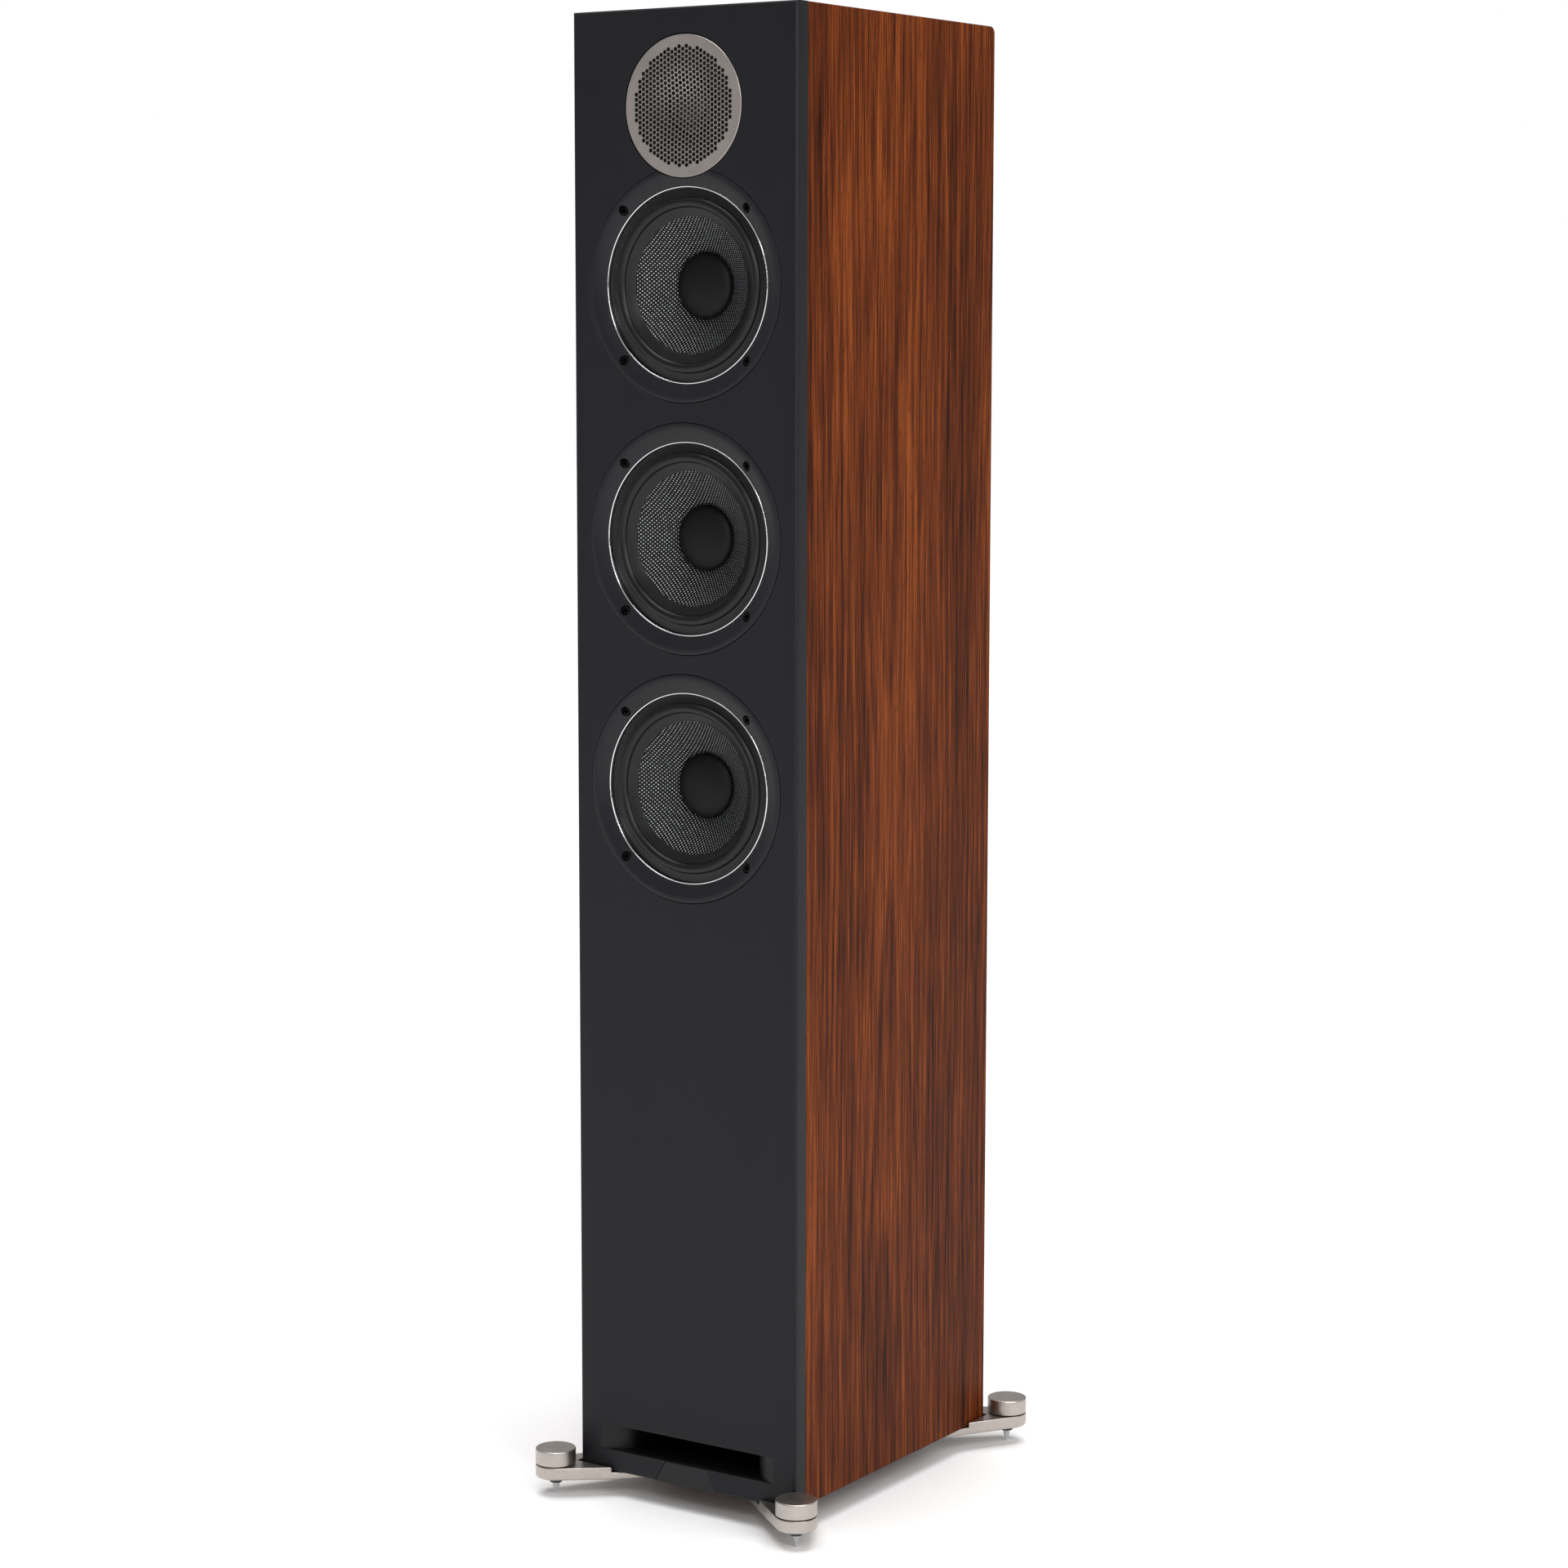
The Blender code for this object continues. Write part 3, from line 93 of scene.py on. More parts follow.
def add_node(
    tree: bpy.types.NodeTree,
    kind: str,
    inputs: dict | None = None,
    stops: Sequence[tuple[float, str]] = (),
    **settings: object,
) -> bpy.types.Node:
    """Add a node with its settings, values and links.

    Args:
        tree: the material's node tree.
        kind: the node's type name.
        inputs: value or output socket to put into each input, by name or index.
        stops: position and hex colour of each stop, for a colour ramp.
        settings: the node's own properties.

    Returns:
        The new node.
    """
    node = tree.nodes.new(kind)
    for name, value in settings.items():
        setattr(node, name, value)
    for name, value in (inputs or {}).items():
        if isinstance(value, bpy.types.NodeSocket):
            tree.links.new(value, node.inputs[name])
        else:
            node.inputs[name].default_value = value
    for index, (position, code) in enumerate(stops):
        elements = node.color_ramp.elements
        element = elements[index] if index < 2 else elements.new(position)
        element.position = position
        element.color = linear(code)
    return node


@dataclass(frozen=True)
class Finish:
    """A surface of one material and process.

    Attributes:
        name: what the material is and how its surface was made.
        colour: sRGB hex colour of the bare surface.
        roughness: microsurface roughness of the shader.
        metallic: 1 for a metal.
        sheen: specular level, below 0.5 for a foil or a dull moulding.
    """

    name: str
    colour: str
    roughness: float
    metallic: float = 0.0
    sheen: float = 0.5

    def make(self) -> bpy.types.Material:
        """Build the material, or return it if it is there already."""
        found = bpy.data.materials.get(self.name)
        if found is not None:
            return found
        material = bpy.data.materials.new(self.name)
        material.use_nodes = True
        shader = material.node_tree.nodes["Principled BSDF"]
        shader.inputs["Base Color"].default_value = linear(self.colour)
        shader.inputs["Roughness"].default_value = self.roughness
        shader.inputs["Metallic"].default_value = self.metallic
        shader.inputs["Specular IOR Level"].default_value = self.sheen
        material.diffuse_color = linear(self.colour)
        self.detail(material.node_tree, shader)
        return material

    def detail(self, tree: bpy.types.NodeTree, shader: bpy.types.Node) -> None:
        """Add what makes the surface real. A plain finish adds nothing."""


@dataclass(frozen=True)
class Grained(Finish):
    """A moulded, rolled, blasted or coated surface with a fine grain and soft mottling.

    Attributes:
        shade: hex colour that the mottling turns to.
        grain_mm: size of the grain.
        grain_depth_mm: height of the grain.
        mottle_mm: size of the soft patches.
        mottle: how far the patches change the roughness, up and down.
    """

    shade: str = "101010"
    grain_mm: float = 0.4
    grain_depth_mm: float = 0.01
    mottle_mm: float = 30.0
    mottle: float = 0.04

    def detail(self, tree: bpy.types.NodeTree, shader: bpy.types.Node) -> None:
        """Add the grain's bump, and patches in colour and roughness."""
        place = add_node(tree, "ShaderNodeTexCoord").outputs["Object"]
        patches = add_node(
            tree, "ShaderNodeTexNoise",
            {"Vector": place, "Scale": 1 / (self.mottle_mm * MM), "Detail": 4.0, "Roughness": 0.6},
        )
        tone = add_node(
            tree, "ShaderNodeValToRGB", {"Fac": patches.outputs["Fac"]},
            ((0.35, self.shade), (0.65, self.colour)),
        )
        gloss = add_node(
            tree, "ShaderNodeMapRange",
            {
                "Value": patches.outputs["Fac"], "From Min": 0.3, "From Max": 0.7,
                "To Min": self.roughness - self.mottle, "To Max": self.roughness + self.mottle,
            },
        )
        grain = add_node(
            tree, "ShaderNodeTexNoise",
            {"Vector": place, "Scale": 1 / (self.grain_mm * MM), "Detail": 2.0},
        )
        bump = add_node(
            tree, "ShaderNodeBump",
            {"Height": grain.outputs["Fac"], "Distance": self.grain_depth_mm * MM, "Strength": 1.0},
        )
        tree.links.new(tone.outputs["Color"], shader.inputs["Base Color"])
        tree.links.new(gloss.outputs["Result"], shader.inputs["Roughness"])
        tree.links.new(bump.outputs["Normal"], shader.inputs["Normal"])


class Grain(enum.Enum):
    """Which way the wood grain runs: the axis along the grain, and the one across it."""

    UPRIGHT = ("Z", "Y")
    SIDEWAYS = ("X", "Y")


@dataclass(frozen=True)
class WalnutVinyl(Finish):
    """Printed walnut foil, embossed with pores, folded round the cabinet.

    The figure is a plain-sawn one: growth rings seen as cathedrals in the middle of the panel
    and as straight lines beside it.

    Attributes:
        grain: which way the grain runs.
        light, dark: hex colours of the pale and the dark wood.
        ring_mm: spacing of the growth rings.
        fibre_mm: width of the fibre streaks.
        pore_mm: width of the pores, which are fifteen times as long.
        heart: place of the log's heart across the panel.
        ring_share, fibre_share, band_share, broad_share: what each pattern adds to the tone.
        level: what is taken off the tone, so that its mean falls in the middle of the colours.
    """

    grain: Grain = Grain.UPRIGHT
    light: str = "85431a"
    dark: str = "230c04"
    ring_mm: float = 6.5
    fibre_mm: float = 0.9
    pore_mm: float = 0.5
    heart: float = -0.012
    ring_share: float = 0.22
    fibre_share: float = 1.55
    band_share: float = 0.80
    broad_share: float = 0.55
    level: float = 1.09

    def detail(self, tree: bpy.types.NodeTree, shader: bpy.types.Node) -> None:
        """Add the rings, the fibres, the pores and the broad change of tone."""
        along_axis, across_axis = self.grain.value
        place = add_node(tree, "ShaderNodeTexCoord").outputs["Object"]
        split = add_node(tree, "ShaderNodeSeparateXYZ", {"Vector": place})
        along, across = split.outputs[along_axis], split.outputs[across_axis]

        def maths(operation: str, *values: object) -> bpy.types.NodeSocket:
            """Work out one sum of sockets and numbers."""
            inputs = dict(enumerate(values))
            return add_node(tree, "ShaderNodeMath", inputs, operation=operation).outputs[0]

        if self.grain is Grain.UPRIGHT:
            # The figure runs on round the corner, so the thin rear edges have upright lines too.
            across = maths("ADD", across, maths("SUBTRACT", split.outputs["X"], 0.09))

        def noise(width_mm: float, length_mm: float, detail: float, seed: float) -> bpy.types.NodeSocket:
            """Noise drawn out along the grain, with its width and length in millimetres."""
            vector = add_node(
                tree, "ShaderNodeCombineXYZ",
                {
                    "X": maths("DIVIDE", across, width_mm * MM),
                    "Y": maths("DIVIDE", along, length_mm * MM),
                    "Z": seed,
                },
            )
            inputs = {"Vector": vector.outputs[0], "Scale": 1.0, "Detail": detail, "Roughness": 0.55}
            return add_node(tree, "ShaderNodeTexNoise", inputs).outputs["Fac"]

        # The log's heart wanders sideways and in depth along the board, which makes cathedrals.
        wander = maths("MULTIPLY", maths("SUBTRACT", noise(900, 620, 1.0, 3.1), 0.5), 0.05)
        sideways = maths("ADD", maths("SUBTRACT", across, self.heart), wander)
        ripple = maths("MULTIPLY", maths("SUBTRACT", noise(26, 240, 3.0, 7.7), 0.5), 0.006)
        sideways = maths("ADD", sideways, ripple)
        depth = maths("MULTIPLY", noise(1200, 420, 1.0, 11.3), 0.050)
        squares = maths("ADD", maths("POWER", sideways, 2.0), maths("POWER", depth, 2.0))
        radius = maths("SQRT", squares)
        ring = maths("FRACT", maths("DIVIDE", radius, self.ring_mm * MM))
        late_wood = add_node(
            tree, "ShaderNodeValToRGB", {"Fac": ring},
            ((0.0, "909090"), (0.12, "f4f4f4"), (0.55, "c8c8c8"), (0.90, "505050"), (1.0, "808080")),
        ).outputs["Color"]

        streaks = noise(self.fibre_mm, 60, 3.0, 1.7)
        bands = noise(9, 420, 2.0, 5.9)
        broad = noise(60, 700, 2.0, 9.4)
        tone = maths("MULTIPLY", late_wood, self.ring_share)
        tone = maths("ADD", tone, maths("MULTIPLY", streaks, self.fibre_share))
        tone = maths("ADD", tone, maths("MULTIPLY", bands, self.band_share))
        tone = maths("ADD", tone, maths("MULTIPLY", broad, self.broad_share))
        tone = maths("SUBTRACT", tone, self.level)
        wood = add_node(
            tree, "ShaderNodeValToRGB", {"Fac": tone},
            ((0.12, self.dark), (0.5, self.colour), (0.88, self.light)),
        ).outputs["Color"]
        pores = noise(self.pore_mm, self.pore_mm * 15, 1.0, 2.3)
        pore = add_node(
            tree, "ShaderNodeMapRange",
            {"Value": pores, "From Min": 0.60, "From Max": 0.70, "To Min": 0.0, "To Max": 0.55},
        ).outputs["Result"]
        colour = add_node(tree, "ShaderNodeMix", {"Factor": pore}, data_type="RGBA")
        # A Mix node has an A and a B for each data type, so the colour ones go by index.
        tree.links.new(wood, colour.inputs[6])
        colour.inputs[7].default_value = linear("1c0a04")
        height = maths("SUBTRACT", maths("MULTIPLY", streaks, 0.35), pore)
        bump = add_node(
            tree, "ShaderNodeBump", {"Height": height, "Distance": 0.05 * MM, "Strength": 1.0},
        )
        tree.links.new(colour.outputs[2], shader.inputs["Base Color"])
        tree.links.new(bump.outputs["Normal"], shader.inputs["Normal"])


@dataclass(frozen=True)
class WovenGlass(Finish):
    """Glass-fibre cloth pressed to a cone: bright threads that rise through a black resin.

    Attributes:
        thread: hex colour of the threads' bright crowns.
        pitch_mm: distance from one crown to the next one above it.
        crown_depth_mm: how far a crown stands out.
    """

    thread: str = "b4b7ba"
    pitch_mm: float = 2.6
    crown_depth_mm: float = 0.22

    def detail(self, tree: bpy.types.NodeTree, shader: bpy.types.Node) -> None:
        """Add the staggered crowns, with glints that differ from one to the next."""
        place = add_node(tree, "ShaderNodeTexCoord").outputs["Object"]
        split = add_node(tree, "ShaderNodeSeparateXYZ", {"Vector": place})
        waves = []
        for axis in ("X", "Z"):
            turns = add_node(
                tree, "ShaderNodeMath",
                {0: split.outputs[axis], 1: math.tau / (self.pitch_mm * MM)},
                operation="MULTIPLY",
            )
            waves.append(add_node(tree, "ShaderNodeMath", {0: turns.outputs[0]}, operation="SINE"))
        weave = add_node(
            tree, "ShaderNodeMath", {0: waves[0].outputs[0], 1: waves[1].outputs[0]},
            operation="MULTIPLY",
        ).outputs[0]
        crown = add_node(
            tree, "ShaderNodeMapRange",
            {"Value": weave, "From Min": 0.28, "From Max": 0.80},
            interpolation_type="SMOOTHSTEP",
        ).outputs["Result"]
        glint = add_node(
            tree, "ShaderNodeTexNoise",
            {"Vector": place, "Scale": 1 / (self.pitch_mm * MM), "Detail": 2.0},
        )
        shine = add_node(
            tree, "ShaderNodeMapRange",
            {"Value": glint.outputs["Fac"], "From Min": 0.3, "From Max": 0.7, "To Min": 0.35},
        ).outputs["Result"]
        bright = add_node(
            tree, "ShaderNodeMath", {0: crown, 1: shine}, operation="MULTIPLY",
        ).outputs[0]
        colour = add_node(tree, "ShaderNodeMix", {"Factor": bright}, data_type="RGBA")
        colour.inputs[6].default_value = linear(self.colour)
        colour.inputs[7].default_value = linear(self.thread)
        gloss = add_node(
            tree, "ShaderNodeMapRange",
            {"Value": bright, "To Min": self.roughness, "To Max": 0.24},
        )
        metal = add_node(
            tree, "ShaderNodeMath", {0: bright, 1: 0.75}, operation="MULTIPLY",
        )
        bump = add_node(
            tree, "ShaderNodeBump",
            {"Height": weave, "Distance": self.crown_depth_mm * MM, "Strength": 1.0},
        )
        tree.links.new(colour.outputs[2], shader.inputs["Base Color"])
        tree.links.new(gloss.outputs["Result"], shader.inputs["Roughness"])
        tree.links.new(metal.outputs[0], shader.inputs["Metallic"])
        tree.links.new(bump.outputs["Normal"], shader.inputs["Normal"])


# Walnut-print PVC foil, satin: warm red-brown wood with dark pores and a soft sheen.
WALNUT = WalnutVinyl("walnut_vinyl_upright", "59270d", 0.40, sheen=0.04)
WALNUT_TOP = WalnutVinyl(
    "walnut_vinyl_sideways", "59270d", 0.40, sheen=0.04, grain=Grain.SIDEWAYS,
)
# Charcoal PVC foil on fibreboard, satin: near black, with a broad dull highlight.
CHARCOAL_FOIL = Grained(
    "charcoal_foil_satin", "151418", 0.44, sheen=0.2, shade="141317", grain_mm=0.5, grain_depth_mm=0.006,
)
# Painted ABS ring, satin: the foil's colour, a little smoother.
CHARCOAL_TRIM = Grained(
    "charcoal_abs_painted", "141317", 0.38, sheen=0.28, shade="131216", grain_mm=0.6, grain_depth_mm=0.004,
)
# Polished chrome plate: a thin bright line.
CHROME = Grained("chrome_polished", "dfe1e3", 0.07, 1.0, shade="d6d8da", mottle=0.02, grain_depth_mm=0.0005)
# Black oxide steel: dull, with a faint brown cast.
BLACK_OXIDE = Grained("steel_black_oxide", "1b1a1b", 0.38, 1.0, shade="151415", grain_mm=0.3, mottle_mm=4)
# Nitrile rubber, moulded: black with a soft sheen.
RUBBER = Grained(
    "rubber_moulded", "0b0b0c", 0.34, sheen=0.3, shade="09090a",
    grain_mm=0.5, grain_depth_mm=0.006, mottle_mm=12,
)
# Glass-fibre cloth with a black resin.
GLASS_CLOTH = WovenGlass("glass_fibre_woven", "060607", 0.42, sheen=0.15)
# Polypropylene dust cap, matt flocked: the blackest part of a driver.
DUST_CAP = Grained(
    "polypropylene_matt", "060607", 0.50, sheen=0.2, shade="050506",
    grain_mm=0.5, grain_depth_mm=0.02, mottle_mm=10,
)
# Nickel plate on blasted steel, satin: warm grey metal with a fine grain.
NICKEL = Grained(
    "nickel_blasted_satin", "b9b1ab", 0.36, 1.0, shade="b0a8a2",
    grain_mm=0.25, grain_depth_mm=0.006, mottle_mm=14,
)
# Pressed steel sheet, nickel plated: the tweeter's perforated disc.
NICKEL_SHEET = Grained(
    "nickel_sheet_pressed", "aea6a2", 0.34, 1.0, shade="a69e9a", grain_mm=0.25, grain_depth_mm=0.004,
)
# Moulded ABS, black, fine spark texture.
BLACK_ABS = Grained(
    "abs_moulded_black", "0a0a0b", 0.48, sheen=0.3, shade="09090a", grain_mm=0.35, grain_depth_mm=0.02,
)
# Nylon, moulded: washers and stud collars, black with a soft gloss.
NYLON = Grained("nylon_moulded_black", "0d0d0e", 0.3, shade="0b0b0c", grain_depth_mm=0.004, mottle_mm=5)
# Pressed steel with black enamel.
ENAMEL = Grained("steel_black_enamel", "111112", 0.35, shade="0e0e0f", grain_mm=0.8, grain_depth_mm=0.01)
# Zinc-plated steel plates round a ferrite magnet.
MOTOR_STEEL = Grained("steel_zinc_plated", "8d9092", 0.38, 1.0, shade="7d8082", grain_mm=0.5, mottle_mm=9)
# Resin-dipped cotton, corrugated: ochre cloth.
SPIDER_CLOTH = Grained(
    "cotton_resin_dipped", "9a7434", 0.85, shade="8b672b", grain_mm=0.45, grain_depth_mm=0.1, mottle_mm=8,
)
# Coated textile dome.
DOME_CLOTH = Grained(
    "textile_coated", "141415", 0.5, shade="101011", grain_mm=0.3, grain_depth_mm=0.03, mottle_mm=5,
)
# Black vinyl with a leather-like emboss, on the back panel.
BACK_VINYL = Grained("vinyl_embossed_black", "171718", 0.5, shade="131314", grain_mm=1.1, grain_depth_mm=0.06)
# Bare medium-density fibreboard, sanded.
FIBREBOARD = Grained(
    "fibreboard_sanded", "a5825a", 0.85, shade="967450", grain_mm=0.7, grain_depth_mm=0.03, mottle_mm=25,
)
# Gold-plated brass, turned.
GOLD_PLATE = Grained(
    "brass_gold_plated", "d8a94e", 0.2, 1.0, shade="cf9f45", grain_depth_mm=0.002, mottle_mm=4,
)
# Moulded acetal caps, gloss, with a red and a black marker ring.
CAP_BLACK = Grained("acetal_gloss_black", "0e0e0f", 0.22, shade="0c0c0d", grain_depth_mm=0.002, mottle_mm=6)
MARK_RED = Grained("marker_ring_red", "a3161a", 0.3, shade="951418", grain_depth_mm=0.002, mottle_mm=6)
MARK_BLACK = Grained("marker_ring_black", "1c1c1d", 0.3, shade="181819", grain_depth_mm=0.002, mottle_mm=6)
# Glass-epoxy circuit board with a green mask.
CIRCUIT = Grained("glass_epoxy_green", "1d5a34", 0.35, shade="184c2c", grain_mm=0.6, mottle_mm=10)
# White paint on the studio floor.
FLOOR = Grained(
    "floor_painted_pale", "f4f4f4", 0.75, shade="f3f3f3", mottle_mm=900, mottle=0.0, grain_depth_mm=0.0005,
)


# ---- modelling ----------------------------------------------------------------------------


def select_only(obj: bpy.types.Object | None) -> None:
    """Leave edit mode, deselect everything, and select one object if one is given."""
    if bpy.context.mode != "OBJECT":
        bpy.ops.object.mode_set(mode="OBJECT")
    bpy.ops.object.select_all(action="DESELECT")
    if obj is not None:
        obj.select_set(True)
        bpy.context.view_layer.objects.active = obj


def arc(
    centre: tuple[float, float], radii: tuple[float, float], start: float, end: float, steps: int,
) -> list[tuple[float, float]]:
    """Points on an ellipse's arc.

    Args:
        centre: middle of the ellipse.
        radii: its two half axes.
        start: first angle in degrees.
        end: last angle in degrees.
        steps: number of steps between the two.

    Returns:
        The points as pairs.
    """
    points = []
    for step in range(steps + 1):
        angle = math.radians(start + (end - start) * step / steps)
        points.append((centre[0] + radii[0] * math.cos(angle), centre[1] + radii[1] * math.sin(angle)))
    return points


def draw_line(name: str, points: Sequence[Sequence[float]]) -> bpy.types.Object:
    """Draw an open line by extruding one point from place to place.

    Args:
        name: the object's name.
        points: places that the line passes through.

    Returns:
        The object, in edit mode, with its last point selected.
    """
    select_only(None)
    bpy.ops.mesh.primitive_plane_add(size=1.0)
    obj = bpy.context.active_object
    obj.name = obj.data.name = name
    bpy.ops.object.mode_set(mode="EDIT")
    bpy.ops.mesh.select_all(action="SELECT")
    bpy.ops.mesh.merge(type="CENTER")
    bpy.ops.transform.translate(value=points[0])
    for here, there in zip(points, points[1:]):
        step = Vector(there) - Vector(here)
        bpy.ops.mesh.extrude_region_move(TRANSFORM_OT_translate={"value": step})
    return obj


def settle(obj: bpy.types.Object, place: Matrix | None = None, angle: float = 35.0) -> bpy.types.Object:
    """Move a shape to its place, put the place into its mesh, and shade it.

    Args:
        obj: the shape, in any mode.
        place: where it goes, or None to leave it.
        angle: edges that turn more than this many degrees stay sharp.

    Returns:
        The same object, at the origin.
    """
    select_only(obj)
    if place is not None:
        obj.matrix_world = place
        bpy.ops.object.transform_apply(location=True, rotation=True, scale=True)
    bpy.ops.object.mode_set(mode="EDIT")
    bpy.ops.mesh.select_all(action="SELECT")
    bpy.ops.mesh.remove_doubles(threshold=1e-6)
    bpy.ops.mesh.normals_make_consistent(inside=False)
    bpy.ops.object.mode_set(mode="OBJECT")
    bpy.ops.object.shade_smooth_by_angle(angle=math.radians(angle))
    return obj


def turned(name: str, outline: Outline, place: Matrix, steps: int = 96) -> bpy.types.Object:
    """Turn a piece from a (radius, height) outline, as on a lathe.

    Args:
        name: the piece's name.
        outline: its section. One that starts and ends on the axis makes a solid, any other a ring.
        place: from the lathe's axis, which is +Z, to the piece's own place.
        steps: number of facets round it.

    Returns:
        The finished piece.
    """
    section = list(outline)
    if section[0][0] > 0.0:
        section.append(section[0])
    obj = draw_line(name, [(radius, 0.0, height) for radius, height in section])
    bpy.ops.mesh.select_all(action="SELECT")
    bpy.ops.mesh.spin(steps=steps, angle=math.tau, center=(0, 0, 0), axis=(0, 0, 1))
    return settle(obj, place)


def plate(name: str, outline: Outline, low: float, high: float) -> bpy.types.Object:
    """Make a flat plate with an (x, y) outline between two heights, not yet settled."""
    obj = draw_line(name, [(x, y, low) for x, y in outline])
    bpy.ops.mesh.select_all(action="SELECT")
    bpy.ops.mesh.edge_face_add()
    bpy.ops.mesh.extrude_region_move(TRANSFORM_OT_translate={"value": (0, 0, high - low)})
    bpy.ops.mesh.select_all(action="SELECT")
    bpy.ops.mesh.normals_make_consistent(inside=False)
    select_only(obj)
    return obj


def block(name: str, low: Sequence[float], high: Sequence[float]) -> bpy.types.Object:
    """Make a block between two corners, to be shaped or to cut with."""
    select_only(None)
    middle = (Vector(low) + Vector(high)) / 2
    bpy.ops.mesh.primitive_cube_add(size=1.0, location=middle, scale=Vector(high) - Vector(low))
    obj = bpy.context.active_object
    obj.name = obj.data.name = name
    bpy.ops.object.transform_apply(location=True, rotation=True, scale=True)
    return obj


def round_edges(
    obj: bpy.types.Object, width: float, segments: int, chosen: Callable[[Vector, Vector], bool],
) -> None:
    """Bevel the edges that a test chooses.

    Args:
        obj: the piece.
        width: the bevel's width.
        segments: its number of steps.
        chosen: says of an edge, by its two ends, whether it is rounded.
    """
    select_only(obj)
    bpy.ops.object.mode_set(mode="EDIT")
    bpy.ops.mesh.select_mode(type="EDGE")
    bpy.ops.mesh.select_all(action="DESELECT")
    bpy.ops.object.mode_set(mode="OBJECT")
    points = obj.data.vertices
    for edge in obj.data.edges:
        first, last = (points[index].co for index in edge.vertices)
        edge.select = chosen(first, last)
    bpy.ops.object.mode_set(mode="EDIT")
    bpy.ops.mesh.bevel(offset=width, segments=segments, profile=0.5, affect="EDGES")
    bpy.ops.mesh.select_mode(type="VERT")
    bpy.ops.object.mode_set(mode="OBJECT")


def combine(obj: bpy.types.Object, other: bpy.types.Object, operation: str = "DIFFERENCE") -> None:
    """Cut another shape from a piece, or join it with operation UNION. The other shape is used up."""
    select_only(obj)
    modifier = obj.modifiers.new("combine", "BOOLEAN")
    modifier.operation = operation
    modifier.solver = "EXACT"
    modifier.object = other
    bpy.ops.object.modifier_apply(modifier=modifier.name)
    bpy.data.objects.remove(other, do_unlink=True)


def soften(obj: bpy.types.Object, width: float, segments: int = 2, angle: float = 40.0) -> None:
    """Break every edge of a piece that turns more than an angle in degrees."""
    select_only(obj)
    modifier = obj.modifiers.new("soften", "BEVEL")
    modifier.width = width
    modifier.segments = segments
    modifier.limit_method = "ANGLE"
    modifier.angle_limit = math.radians(angle)
    modifier.use_clamp_overlap = True
    bpy.ops.object.modifier_apply(modifier=modifier.name)


def copied(obj: bpy.types.Object, name: str, place: Matrix) -> bpy.types.Object:
    """Copy a piece, with its own mesh, to another place."""
    other = bpy.data.objects.new(name, obj.data.copy())
    other.data.name = name
    other.data.transform(place)
    bpy.context.scene.collection.objects.link(other)
    return other


def dress(
    obj: bpy.types.Object, body: str, finish: Finish, replaced: Iterable[str] = (),
) -> bpy.types.Object:
    """Give a piece its finish, its body, and the solids that it stands for.

    Args:
        obj: the finished piece.
        body: the body that it moves with.
        finish: its surface.
        replaced: the solids that it stands for.

    Returns:
        The same object.
    """
    obj.data.materials.clear()
    obj.data.materials.append(finish.make())
    if replaced:
        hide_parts(*replaced)
    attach(obj, body)
    LOG.info("%s on %s, %d faces", obj.name, body, len(obj.data.polygons))
    return obj


def finish_blended(obj: bpy.types.Object, finish: Finish, replaced: str) -> None:
    obj.data.materials.append(finish.make())
    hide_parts(replaced)
    LOG.info("%s bends, %d faces", obj.name, len(obj.data.polygons))


def paint_where(obj: bpy.types.Object, finish: Finish, chosen: Callable[[Vector, Vector], bool]) -> None:
    """Give a second finish to the faces that a test chooses by their middle and normal."""
    obj.data.materials.append(finish.make())
    index = len(obj.data.materials) - 1
    for face in obj.data.polygons:
        if chosen(face.center, face.normal):
            face.material_index = index


def repaint(node: str, finish: Finish) -> None:
    """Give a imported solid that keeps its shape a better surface."""
    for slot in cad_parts[node].material_slots:
        slot.material = finish.make()


def sheet(path: Outline, thickness: float) -> list[tuple[float, float]]:
    """The closed section of a thin sheet whose middle line is a (radius, height) path."""
    front, back = [], []
    for index, (radius, height) in enumerate(path):
        before, after = path[max(index - 1, 0)], path[min(index + 1, len(path) - 1)]
        along = math.atan2(after[1] - before[1], after[0] - before[0])
        if radius == 0.0:
            along = 0.0 if after[0] > before[0] else math.pi
        rise = (-math.sin(along) * thickness / 2, math.cos(along) * thickness / 2)
        front.append((radius + rise[0], height + rise[1]))
        back.append((radius - rise[0], height - rise[1]))
    return front + back[::-1]


def facing_front(height: float) -> Matrix:
    """From a lathe's axis to a driver's place: +Z turns to the front, at a height on the baffle."""
    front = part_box("front_baffle")[0].y
    return Matrix.Translation((0.0, front, height)) @ Matrix.Rotation(math.pi / 2, 4, "X")


def middle_of(node: str) -> Vector:
    """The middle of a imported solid."""
    low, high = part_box(node)
    return (low + high) / 2


# ---- cabinet ------------------------------------------------------------------------------


